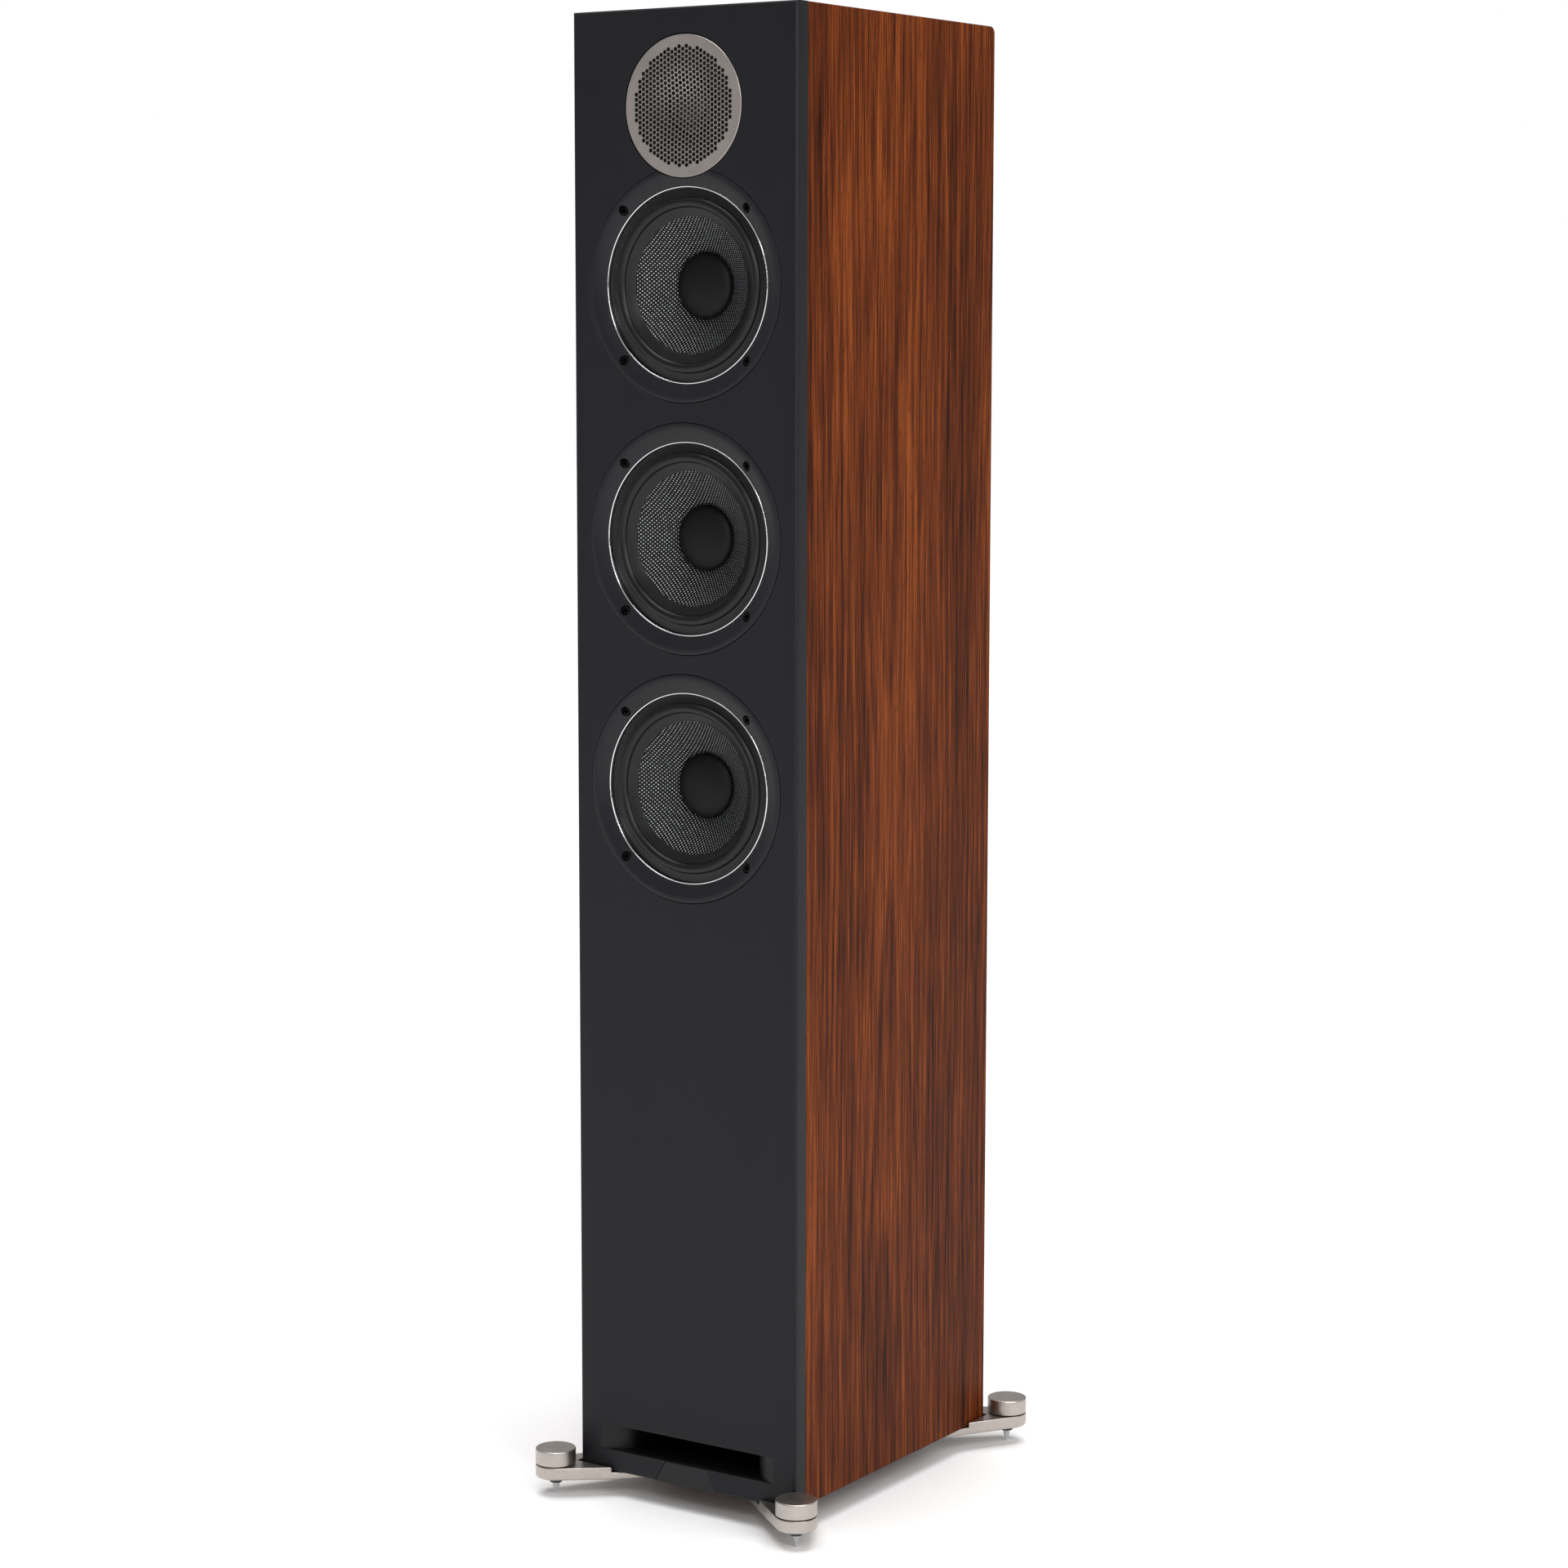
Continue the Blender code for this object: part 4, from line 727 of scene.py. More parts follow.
@dataclass
class Cabinet:
    """The walnut sleeve, the charcoal baffle with its openings, the badge and the back.

    Attributes:
        wall: thickness of the sleeve's panels.
        fold_radius: rounding of the folds along the cabinet's depth.
        rear_radius: rounding of the sleeve's rear edges.
        baffle_face: thickness of the baffle in front of the sleeve.
        baffle_edge: rounding of the baffle's front edges.
        gap: clearance between fitted pieces.
        ring_radius: outside radius of a woofer's trim ring.
        flange_radius: outside radius of a woofer's flange.
        mouth_radius: radius of a woofer's hole behind its flange.
        tweeter_gap: clearance round the tweeter's disc.
        slot_mouth, slot_throat: half widths of the reflex slot at the face and behind it.
        badge_top, badge_bottom: half widths of the badge at its two edges.
        badge_depth, badge_recess: thickness of the badge, and depth of its recess.
        ring_seat, flange_seat: depths of the two steps of a woofer's rebate.
        tweeter_seat, tweeter_mouth: depth of the tweeter's rebate, and radius of the hole behind it.
        slot_skin: wall between the duct's outside and the slot's air.
    """

    wall: float = 0.012
    fold_radius: float = 0.0012
    rear_radius: float = 0.005
    baffle_face: float = 0.0125
    baffle_edge: float = 0.0025
    gap: float = 0.0003
    ring_radius: float = 0.0772
    flange_radius: float = 0.0742
    mouth_radius: float = 0.0616
    tweeter_gap: float = 0.0005
    slot_mouth: float = 0.0745
    slot_throat: float = 0.051
    badge_top: float = 0.01725
    badge_bottom: float = 0.02625
    badge_depth: float = 0.003
    badge_recess: float = 0.00335
    ring_seat: float = 0.0033
    flange_seat: float = 0.0091
    tweeter_seat: float = 0.0053
    tweeter_mouth: float = 0.0385
    slot_skin: float = 0.0034

    def build(self) -> None:
        """Build and dress the whole cabinet."""
        self.low, self.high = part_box("front_baffle")
        self.sleeve()
        self.baffle()
        self.badge()
        repaint("back_panel", BACK_VINYL)
        repaint("port_duct", BLACK_ABS)
        repaint("brace_upper", FIBREBOARD)
        repaint("brace_lower", FIBREBOARD)

    def sleeve(self) -> None:
        """The folded foil sleeve: a tube open to the front and the back."""
        panel_low, panel_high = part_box("top_panel")
        front, back = panel_low.y, panel_high.y
        radius, sharp = self.rear_radius, self.fold_radius
        bottom, top = self.low.z, self.high.z
        outline = [(front, bottom)] + arc((back - radius, bottom + radius), (radius, radius), -90, 0, 6)
        outline += arc((back - radius, top - radius), (radius, radius), 0, 90, 6) + [(front, top)]
        shell = plate("walnut_sleeve", outline, self.low.x, self.high.x)
        # The outline's x and y become the cabinet's y and z, and its thickness lies along x.
        turn = Matrix(((0, 0, 1, 0), (1, 0, 0, 0), (0, 1, 0, 0), (0, 0, 0, 1)))
        settle(shell, turn)
        soften(shell, sharp, 3, 60)
        inner_low = (self.low.x + self.wall, front - self.wall, bottom + self.wall)
        inner_high = (self.high.x - self.wall, back + self.wall, top - self.wall)
        combine(shell, block("sleeve_hollow", inner_low, inner_high))
        settle(shell, angle=40)
        dress(
            shell, "cabinet", WALNUT,
            ("side_panel_left", "side_panel_right", "top_panel", "bottom_panel"),
        )
        paint_where(shell, WALNUT_TOP, lambda middle, normal: abs(normal.z) > 0.71)
        hollow = self.high.x - self.wall + NEAR
        paint_where(
            shell, FIBREBOARD,
            lambda middle, normal: abs(middle.x) < hollow
            and bottom + self.wall - NEAR < middle.z < top - self.wall + NEAR
            and abs(normal.y) < 0.5,
        )

    def baffle(self) -> None:
        """The baffle: rounded edges, driver rebates, the flared slot and the badge's recess."""
        face_back = self.low.y + self.baffle_face
        slab = block("baffle", self.low, (self.high.x, face_back, self.high.z))
        front = self.low.y + NEAR
        round_edges(slab, self.baffle_edge, 6, lambda a, b: a.y < front and b.y < front)
        inner, lap = self.wall + self.gap, 0.002
        spigot = block(
            "baffle_spigot",
            (self.low.x + inner, face_back - lap, self.low.z + inner),
            (self.high.x - inner, self.high.y, self.high.z - inner),
        )
        combine(slab, spigot, "UNION")
        through, chamfer = -0.030, 0.0004
        ring, flange = self.ring_radius + self.gap, self.flange_radius + self.gap
        rebate = [
            (0.0, OVERCUT), (ring + chamfer, OVERCUT), (ring + chamfer, 0.0), (ring, -chamfer),
            (ring, -self.ring_seat), (flange, -self.ring_seat),
            (flange, -self.flange_seat), (self.mouth_radius, -self.flange_seat),
            (self.mouth_radius, through), (0.0, through),
        ]
        for name in WOOFERS:
            height = middle_of(name + "_basket").z
            combine(slab, turned(name + "_rebate", rebate, facing_front(height)))
        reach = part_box("tweeter_grille")[1].x + self.tweeter_gap
        rebate = [
            (0.0, OVERCUT), (reach, OVERCUT), (reach, -self.tweeter_seat),
            (self.tweeter_mouth, -self.tweeter_seat), (self.tweeter_mouth, through), (0.0, through),
        ]
        height = middle_of("tweeter_grille").z
        combine(slab, turned("tweeter_rebate", rebate, facing_front(height)))
        combine(slab, self.slot_air())
        combine(slab, self.badge_shape("badge_recess", self.badge_recess, self.gap, OVERCUT))
        settle(slab, angle=28)
        dress(slab, "cabinet", CHARCOAL_FOIL, ("front_baffle",))
        duct_low, duct_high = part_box("port_duct")
        # The slot's own faces in the baffle take a darker black than the foil: painted shade, standing for
        # the shade inside the slot.
        paint_where(
            slab, BLACK_ABS,
            lambda middle, normal: duct_low.z < middle.z < duct_high.z
            and abs(middle.x) < self.slot_mouth + 1e-4
            and middle.y > self.low.y + 1e-4
            and not (abs(normal.y) > 0.9 and abs(middle.x) < self.badge_bottom),
        )

    def slot_air(self) -> bpy.types.Object:
        """The air in the slot: both ends flared towards the front on a quarter of an ellipse."""
        front, back = self.low.y, self.high.y
        duct_low, duct_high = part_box("port_duct")
        radii = (self.slot_mouth - self.slot_throat, back - front)
        right = arc((self.slot_mouth, back), radii, 270, 180, 16)
        left = [(-x, y) for x, y in reversed(right)]
        outline = [(-self.slot_mouth, front - OVERCUT), (self.slot_mouth, front - OVERCUT)] + right
        outline += [(self.slot_throat, back + OVERCUT), (-self.slot_throat, back + OVERCUT)] + left
        return plate("slot_air", outline, duct_low.z + self.slot_skin, duct_high.z - self.slot_skin)

    def badge_shape(self, name: str, depth: float, side_gap: float, proud: float) -> bpy.types.Object:
        """A trapezoid plate on the baffle's face, under the slot.

        Args:
            name: the shape's name.
            depth: how deep it reaches into the baffle.
            side_gap: how far its slanted sides are moved out.
            proud: how far it stands out in front, and runs over its two edges.

        Returns:
            The shape, standing in its place.
        """
        slot_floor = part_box("port_duct")[0].z + self.slot_skin
        height = slot_floor - self.low.z
        slope = (self.badge_bottom - self.badge_top) / height
        edge = proud if proud > 0 else -self.gap
        low, high = self.low.z - edge, slot_floor + edge
        half_low = self.badge_bottom + slope * (self.low.z - low) + side_gap
        half_high = self.badge_top - slope * (high - slot_floor) + side_gap
        outline = [(-half_low, low), (half_low, low), (half_high, high), (-half_high, high)]
        obj = plate(name, outline, -self.low.y - depth, -self.low.y + proud)
        return settle(obj, Matrix.Rotation(math.pi / 2, 4, "X"))

    def badge(self) -> None:
        """The blank badge plate."""
        plaque = self.badge_shape("badge", self.badge_depth, 0.0, 0.0)
        soften(plaque, 0.0004, 3)
        settle(plaque)
        dress(plaque, "cabinet", CHARCOAL_TRIM, ("badge_plate",))


# ---- drivers ------------------------------------------------------------------------------

WOOFERS = ("woofer_upper", "woofer_middle", "woofer_lower")


@dataclass
class Woofer:
    """A woofer: trim ring, bright lip, four screws, surround, cone, dust cap and spider.

    Attributes:
        name: the driver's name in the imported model.
        ring_radius: outside radius of the trim ring.
        lip_radius: inside radius of the trim ring and its lip.
        lip_width: width of the bright lip.
        dish: how deep the ring's face falls to the lip.
        screw_circle: radius of the circle of screws.
        head_radius: radius of a screw's head.
        well_gap: room between a screw's head and its counterbore.
        roll_radius: radius of the surround's half roll.
        cone_slope: how steeply the cone falls to its neck.
        tweeter_gap: clearance of the upper ring round the tweeter's disc.
    """

    name: str
    ring_radius: float = 0.0772
    lip_radius: float = 0.0639
    lip_width: float = 0.0011
    dish: float = 0.004
    screw_circle: float = 0.070
    head_radius: float = 0.0030
    well_gap: float = 0.0004
    roll_radius: float = 0.0034
    cone_slope: float = 0.70
    tweeter_gap: float = 0.0005

    def build(self) -> None:
        """Build and dress the driver."""
        self.centre = middle_of(self.name + "_basket")
        self.place = facing_front(self.centre.z)
        self.moving = self.name + "_moving"
        self.trim_ring()
        self.lip()
        self.screws()
        self.surround()
        self.cone()
        self.dust_cap()
        self.spider()
        repaint(self.name + "_basket", ENAMEL)
        repaint(self.name + "_motor", MOTOR_STEEL)

    def trim_ring(self) -> None:
        """The dished ring with its counterbores. A ring under the tweeter is cut to clear it."""
        edge, flat, seat, back, play = 0.0005, 0.003, -0.003, -0.0065, 0.0001
        lift, bend, steps = 0.0004, 1.35, 8
        bore = self.lip_radius + self.lip_width + play
        start = self.ring_radius - flat
        outline = [(self.ring_radius, seat), (start, seat), (start, back), (bore, back)]
        for step in range(steps + 1):
            share = step / steps
            radius = bore + (start - bore) * share
            outline.append((radius, -(self.dish - lift) * (1 - share) ** bend))
        outline += arc((self.ring_radius - edge, -edge), (edge, edge), 90, 0, 3)
        ring = turned(self.name + "_ring", outline, self.place, 128)
        side, over, floor = self.head_radius + self.well_gap, 0.002, -0.0046
        well = [(0.0, over), (side, over), (side, floor), (0.0, floor)]
        for spot in self.screw_spots():
            combine(ring, turned("screw_well", well, self.place @ spot, 32))
        tweeter_low, tweeter_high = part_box("tweeter_grille")
        if self.centre.z + self.ring_radius > tweeter_low.z:
            reach, floor = tweeter_high.x + self.tweeter_gap, -0.0068
            bite = [(0.0, OVERCUT), (reach, OVERCUT), (reach, floor), (0.0, floor)]
            height = middle_of("tweeter_grille").z
            combine(ring, turned("tweeter_bite", bite, facing_front(height), 96))
        settle(ring)
        dress(ring, "cabinet", CHARCOAL_TRIM, (self.name + "_trim_ring",))

    def lip(self) -> None:
        """The bright lip inside the ring."""
        inner, outer = self.lip_radius, self.lip_radius + self.lip_width
        lift, height, back = 0.0001, 0.0006, -0.0064
        crown = arc(((inner + outer) / 2, -self.dish + lift), ((outer - inner) / 2, height), 180, 0, 6)
        outline = [(outer, back), (inner, back)] + crown
        ring = turned(self.name + "_lip", outline, self.place, 128)
        dress(ring, "cabinet", CHROME)

    def screw_spots(self) -> list[Matrix]:
        """Where the four screws sit, on the diagonals."""
        return [
            Matrix.Rotation(math.radians(45 + 90 * quarter), 4, "Z")
            @ Matrix.Translation((self.screw_circle, 0.0, 0.0))
            for quarter in range(4)
        ]

    def screws(self) -> None:
        """Four socket-head screws, modelled once and copied."""
        top, bottom, radius, edge, socket_length = -0.0018, -0.0044, self.head_radius, 0.0004, 0.004
        outline = [(0.0, top), (radius - edge, top)]
        outline += arc((radius - edge, top - edge), (edge, edge), 60, 0, 2)
        outline += [(radius, bottom), (0.0, bottom)]
        first = turned(self.name + "_screw_1", outline, Matrix.Identity(4), 32)
        select_only(None)
        bpy.ops.mesh.primitive_cylinder_add(
            vertices=6, radius=radius / 2, depth=socket_length, location=(0, 0, top),
        )
        combine(first, bpy.context.active_object)
        settle(first)
        places = [self.place @ spot for spot in self.screw_spots()]
        for index, place in enumerate(places[1:], 2):
            other = copied(first, f"{self.name}_screw_{index}", place)
            dress(other, "cabinet", BLACK_OXIDE)
        settle(first, places[0])
        dress(first, "cabinet", BLACK_OXIDE)

    def surround(self) -> None:
        """The rubber surround, which bends between the basket and the cone."""
        gap, land, fillet = 0.0003, 0.0057, 0.0008
        outer = self.lip_radius - gap
        roll_outer = outer - land
        middle = roll_outer - self.roll_radius
        depth, thickness = 0.00615, 0.0007
        path = [(outer, -depth), (roll_outer + fillet, -depth)]
        path += arc((middle, -depth), (self.roll_radius, self.roll_radius), 8, 172, 14)
        inner = middle - self.roll_radius
        # The skirt curves from the roll's inner foot down onto the cone, in steps inwards and down.
        skirt = ((fillet, 0.0001), (0.0012, 0.0003), (0.0058, 0.0034))
        path += [(inner - inwards, -depth - down) for inwards, down in skirt]
        piece = turned(self.name + "_roll", sheet(path, thickness), self.place, 96)
        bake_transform(piece, "cabinet", self.moving, self.centre, self.centre + Vector((0, 0, 0.01)))
        self.weigh(piece, roll_outer, inner)
        finish_blended(piece, RUBBER, self.name + "_surround")

    def weigh(self, piece: bpy.types.Object, still: float, moving: float) -> None:
        """Set how far each point of a blended piece follows the cone, by its radius.

        Args:
            still: from this radius outwards it stays with the basket.
            moving: from this radius inwards it goes with the cone.
        """
        for point, weight in zip(piece.data.vertices, piece.data.attributes["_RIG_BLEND"].data):
            radius = math.hypot(point.co.x, point.co.z - self.centre.z)
            share = min(max((still - radius) / (still - moving), 0.0), 1.0)
            weight.value = share * share * (3 - 2 * share)

    def cone(self) -> None:
        """The woven cone with its voice-coil former."""
        rim, rim_depth, neck, thickness = 0.0501, 0.0072, 0.0125, 0.0012
        fall = (rim - neck) * self.cone_slope
        former, neck_wall = 0.0008, thickness * 1.2
        end = -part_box(self.name + "_cone")[1].y + self.front
        outline = [
            (rim, -rim_depth), (rim, -rim_depth - thickness),
            (neck + former, -rim_depth - neck_wall - fall + former * self.cone_slope),
            (neck + former, end), (neck, end), (neck, -rim_depth - fall),
        ]
        piece = turned(self.name + "_weave", outline, self.place, 128)
        dress(piece, self.moving, GLASS_CLOTH, (self.name + "_cone",))

    @property
    def front(self) -> float:
        """The y of the baffle's face."""
        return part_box("front_baffle")[0].y

    def dust_cap(self) -> None:
        """The domed dust cap with a small rounded rim."""
        low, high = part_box(self.name + "_dust_cap")
        play, inset, wall = 0.0004, 0.0005, 0.0008
        rim_depth = high.y - self.front - play
        height, radius = high.y - low.y - inset, high.x
        dome = arc((0.0, -rim_depth), (radius, height), 90, 4, 14)
        dome[0] = (0.0, -rim_depth + height)
        inside = [(0.0, dome[0][1] - wall)]
        inside += [(r - wall, h - wall / 2) for r, h in dome[1:]]
        piece = turned(self.name + "_cap", dome + inside[::-1], self.place, 96)
        dress(piece, self.moving, DUST_CAP, (self.name + "_dust_cap",))

    def spider(self) -> None:
        """The corrugated spider, which bends between the basket and the former."""
        low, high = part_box(self.name + "_spider")
        depth = (low.y + high.y) / 2 - self.front
        inner, outer, land, thickness = 0.0143, high.x, 0.006, 0.0004
        waves, swing = 4, 0.0013
        steps = waves * 8
        path = []
        for step in range(steps + 1):
            share = step / steps
            radius = inner + (outer - land - inner) * share
            path.append((radius, -depth + swing * math.sin(math.tau * waves * share)))
        path.append((outer, -depth))
        piece = turned(self.name + "_corrugation", sheet(path, thickness), self.place, 64)
        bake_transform(piece, "cabinet", self.moving, self.centre, self.centre + Vector((0, 0, 0.01)))
        self.weigh(piece, outer - land, inner + 0.001)
        finish_blended(piece, SPIDER_CLOTH, self.name + "_spider")


@dataclass
class Tweeter:
    """The tweeter: a perforated disc over a faceplate and a dome.

    Attributes:
        pitch: distance between two holes of one upright row.
        hole_radius: radius of a hole.
        field_radius: radius of the perforated field.
        thickness: thickness of the pressed sheet.
        dish_radius, dish_depth: size of the shallow dish in the middle.
        hole_reach: a point this many hole radii from a cell's middle, or nearer, is on its hole.
    """

    pitch: float = 0.00333
    hole_radius: float = 0.00145
    field_radius: float = 0.0385
    thickness: float = 0.0005
    dish_radius: float = 0.030
    dish_depth: float = 0.0025
    hole_reach: float = 1.1

    @property
    def column(self) -> float:
        """Distance between two upright rows of holes."""
        return self.pitch * math.sqrt(3) / 2

    def build(self) -> None:
        """Build and dress the tweeter."""
        self.low, self.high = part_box("tweeter_grille")
        self.place = facing_front((self.low.z + self.high.z) / 2)
        self.disc()
        self.faceplate()
        self.dome()
        repaint("tweeter_motor", MOTOR_STEEL)

    def disc(self) -> None:
        """The perforated disc: one six-sided cell repeated, then joined to a round rim."""
        apothem, steps = self.pitch / 2, 12
        select_only(None)
        bpy.ops.mesh.primitive_circle_add(vertices=steps, radius=self.hole_radius, fill_type="NOTHING")
        obj = bpy.context.active_object
        obj.name = obj.data.name = "tweeter_disc"
        self.grow_cell(obj, apothem)
        half = int(self.field_radius / self.column / 2) + 1
        rows = int(self.field_radius / self.pitch) + 1
        self.repeat(obj, (self.column, self.pitch / 2, 0.0), 2)
        self.repeat(obj, (self.column * 2, 0.0, 0.0), half * 2 + 1)
        self.repeat(obj, (0.0, self.pitch, 0.0), rows * 2 + 1)
        select_only(obj)
        obj.location = (-self.column * 2 * half, -self.pitch * rows, 0.0)
        bpy.ops.object.transform_apply(location=True, rotation=True, scale=True)
        self.trim_field(obj)
        self.add_rim(obj)
        modifier = obj.modifiers.new("sheet", "SOLIDIFY")
        modifier.thickness = self.thickness
        facing = sum(face.normal.z for face in obj.data.polygons)
        modifier.offset = -1.0 if facing > 0 else 1.0
        select_only(obj)
        bpy.ops.object.modifier_apply(modifier=modifier.name)
        for point in obj.data.vertices:
            radius = math.hypot(point.co.x, point.co.y)
            if radius < self.dish_radius:
                fall = (1 + math.cos(math.pi * radius / self.dish_radius)) / 2
                point.co.z -= self.dish_depth * fall
        settle(obj, self.place)
        dress(obj, "cabinet", NICKEL_SHEET, ("tweeter_grille",))

    def cell_at(self, point: Vector) -> Vector:
        """The middle of the cell nearest to a point of the field."""
        number = round(point.x / self.column)
        spots = []
        for nearby in (number - 1, number, number + 1):
            shift = self.pitch / 2 if nearby % 2 else 0.0
            row = round((point.y - shift) / self.pitch)
            spots.append(Vector((nearby * self.column, row * self.pitch + shift, 0.0)))
        return min(spots, key=lambda spot: (point - spot).length)

    def grow_cell(self, obj: bpy.types.Object, apothem: float) -> None:
        """Extrude the hole's edge outwards to a six-sided cell."""
        bpy.ops.object.mode_set(mode="EDIT")
        bpy.ops.mesh.select_all(action="SELECT")
        bpy.ops.mesh.extrude_region_move()
        scale = apothem / self.hole_radius
        bpy.ops.transform.resize(value=(scale, scale, 1.0), center_override=(0.0, 0.0, 0.0))
        bpy.ops.object.mode_set(mode="OBJECT")
        corner = apothem * 2 / math.sqrt(3)
        for point in obj.data.vertices:
            radius = math.hypot(point.co.x, point.co.y)
            sixth = math.degrees(math.atan2(point.co.y, point.co.x)) / 60
            if radius > self.hole_radius * self.hole_reach and abs(sixth - round(sixth)) < 0.1:
                point.co *= corner / radius

    def repeat(self, obj: bpy.types.Object, step: tuple[float, float, float], count: int) -> None:
        """Repeat a mesh in a row, joined where the copies meet."""
        select_only(obj)
        modifier = obj.modifiers.new("row", "ARRAY")
        modifier.use_relative_offset = False
        modifier.use_constant_offset = True
        modifier.constant_offset_displace = step
        modifier.count = count
        modifier.use_merge_vertices = True
        modifier.merge_threshold = NEAR
        bpy.ops.object.modifier_apply(modifier=modifier.name)

    def trim_field(self, obj: bpy.types.Object) -> None:
        """Take away the cells outside the round field."""
        bpy.ops.object.mode_set(mode="EDIT")
        bpy.ops.mesh.select_mode(type="FACE")
        bpy.ops.mesh.select_all(action="DESELECT")
        bpy.ops.object.mode_set(mode="OBJECT")
        for face in obj.data.polygons:
            face.select = self.cell_at(face.center).length > self.field_radius
        bpy.ops.object.mode_set(mode="EDIT")
        bpy.ops.mesh.delete(type="FACE")
        bpy.ops.mesh.select_mode(type="VERT")
        bpy.ops.mesh.select_all(action="SELECT")
        bpy.ops.mesh.remove_doubles(threshold=NEAR)
        bpy.ops.object.mode_set(mode="OBJECT")

    def open_edges(self, obj: bpy.types.Object) -> list[bpy.types.MeshEdge]:
        """The field's ragged outer edges, without the edges of its holes."""
        uses: dict[tuple[int, int], int] = {}
        for face in obj.data.polygons:
            for key in face.edge_keys:
                uses[key] = uses.get(key, 0) + 1
        found = []
        for edge in obj.data.edges:
            ends = [obj.data.vertices[index].co for index in edge.vertices]
            reach = self.hole_radius * self.hole_reach
            beside_hole = all((end - self.cell_at(end)).length < reach for end in ends)
            if uses.get(edge.key, 0) == 1 and not beside_hole:
                found.append(edge)
        return found

    def add_rim(self, obj: bpy.types.Object) -> None:
        """Fill from the field's ragged edge out to a circle, and turn the circle down as a rim."""
        radius, gap, turn_down = self.high.x - 0.0005, 0.0002, 0.0003
        bpy.ops.object.mode_set(mode="EDIT")
        bpy.ops.mesh.select_mode(type="EDGE")
        bpy.ops.mesh.select_all(action="DESELECT")
        bpy.ops.mesh.primitive_circle_add(vertices=144, radius=radius, fill_type="NOTHING")
        bpy.ops.object.mode_set(mode="OBJECT")
        for edge in self.open_edges(obj):
            edge.select = True
        bpy.ops.object.mode_set(mode="EDIT")
        bpy.ops.mesh.fill()
        bpy.ops.mesh.select_all(action="DESELECT")
        bpy.ops.object.mode_set(mode="OBJECT")
        points = obj.data.vertices
        for edge in obj.data.edges:
            ends = [math.hypot(points[index].co.x, points[index].co.y) for index in edge.vertices]
            edge.select = min(ends) > radius - NEAR
        bpy.ops.object.mode_set(mode="EDIT")
        bpy.ops.mesh.extrude_region_move(TRANSFORM_OT_translate={"value": (0, 0, -turn_down)})
        grow = (self.high.x - gap) / radius
        bpy.ops.transform.resize(value=(grow, grow, 1.0), center_override=(0.0, 0.0, 0.0))
        bpy.ops.mesh.select_mode(type="VERT")
        bpy.ops.mesh.select_all(action="SELECT")
        bpy.ops.mesh.normals_make_consistent(inside=False)
        bpy.ops.object.mode_set(mode="OBJECT")

    def faceplate(self) -> None:
        """The faceplate, flared from the dome to the disc."""
        low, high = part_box("tweeter_faceplate")
        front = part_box("front_baffle")[0].y
        top, back, chamber = -(low.y - front), -0.005, -(high.y - front)
        mouth, throat, floor, shank, flare_size = 0.0395, 0.0173, -0.0117, 0.038, (0.0222, 0.0092)
        flare = arc((mouth, floor), flare_size, 180, 92, 10)
        outline = [(high.x, top), (high.x, back), (shank, back), (shank, chamber)]
        outline += [(throat, chamber), (throat, floor)] + flare[1:] + [(mouth, top)]
        piece = turned("tweeter_flare", outline, self.place)
        dress(piece, "cabinet", BLACK_ABS, ("tweeter_faceplate",))

    def dome(self) -> None:
        """The dome with its coil former, and the small roll that holds it."""
        low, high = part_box("tweeter_dome")
        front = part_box("front_baffle")[0].y
        apex, end = -(low.y - front), -(high.y - front)
        rim, coil_radius, thickness = -0.0098, 0.0124, 0.0005
        path = arc((0.0, rim), (coil_radius, apex - rim - thickness / 2), 90, 6, 12)
        path[0] = (0.0, apex - thickness / 2)
        path += [(coil_radius, rim), (coil_radius, end)]
        piece = turned("tweeter_cap", sheet(path, thickness), self.place, 64)
        dress(piece, "tweeter_moving", DOME_CLOTH, ("tweeter_dome",))
        inner, width, height, thickness = 0.01295, 0.0036, 0.001, 0.0004
        path = arc((inner + width / 2, rim), (width / 2, height), 0, 180, 8)
        piece = turned("tweeter_roll", sheet(path, thickness), self.place, 64)
        middle = middle_of("tweeter_surround")
        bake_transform(piece, "cabinet", "tweeter_moving", middle, middle + Vector((0, 0, 0.01)))
        for point, weight in zip(piece.data.vertices, piece.data.attributes["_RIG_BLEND"].data):
            radius = math.hypot(point.co.x, point.co.z - middle.z)
            weight.value = min(max((inner + width - radius) / width, 0.0), 1.0)
        finish_blended(piece, DOME_CLOTH, "tweeter_surround")


# ---- feet ---------------------------------------------------------------------------------


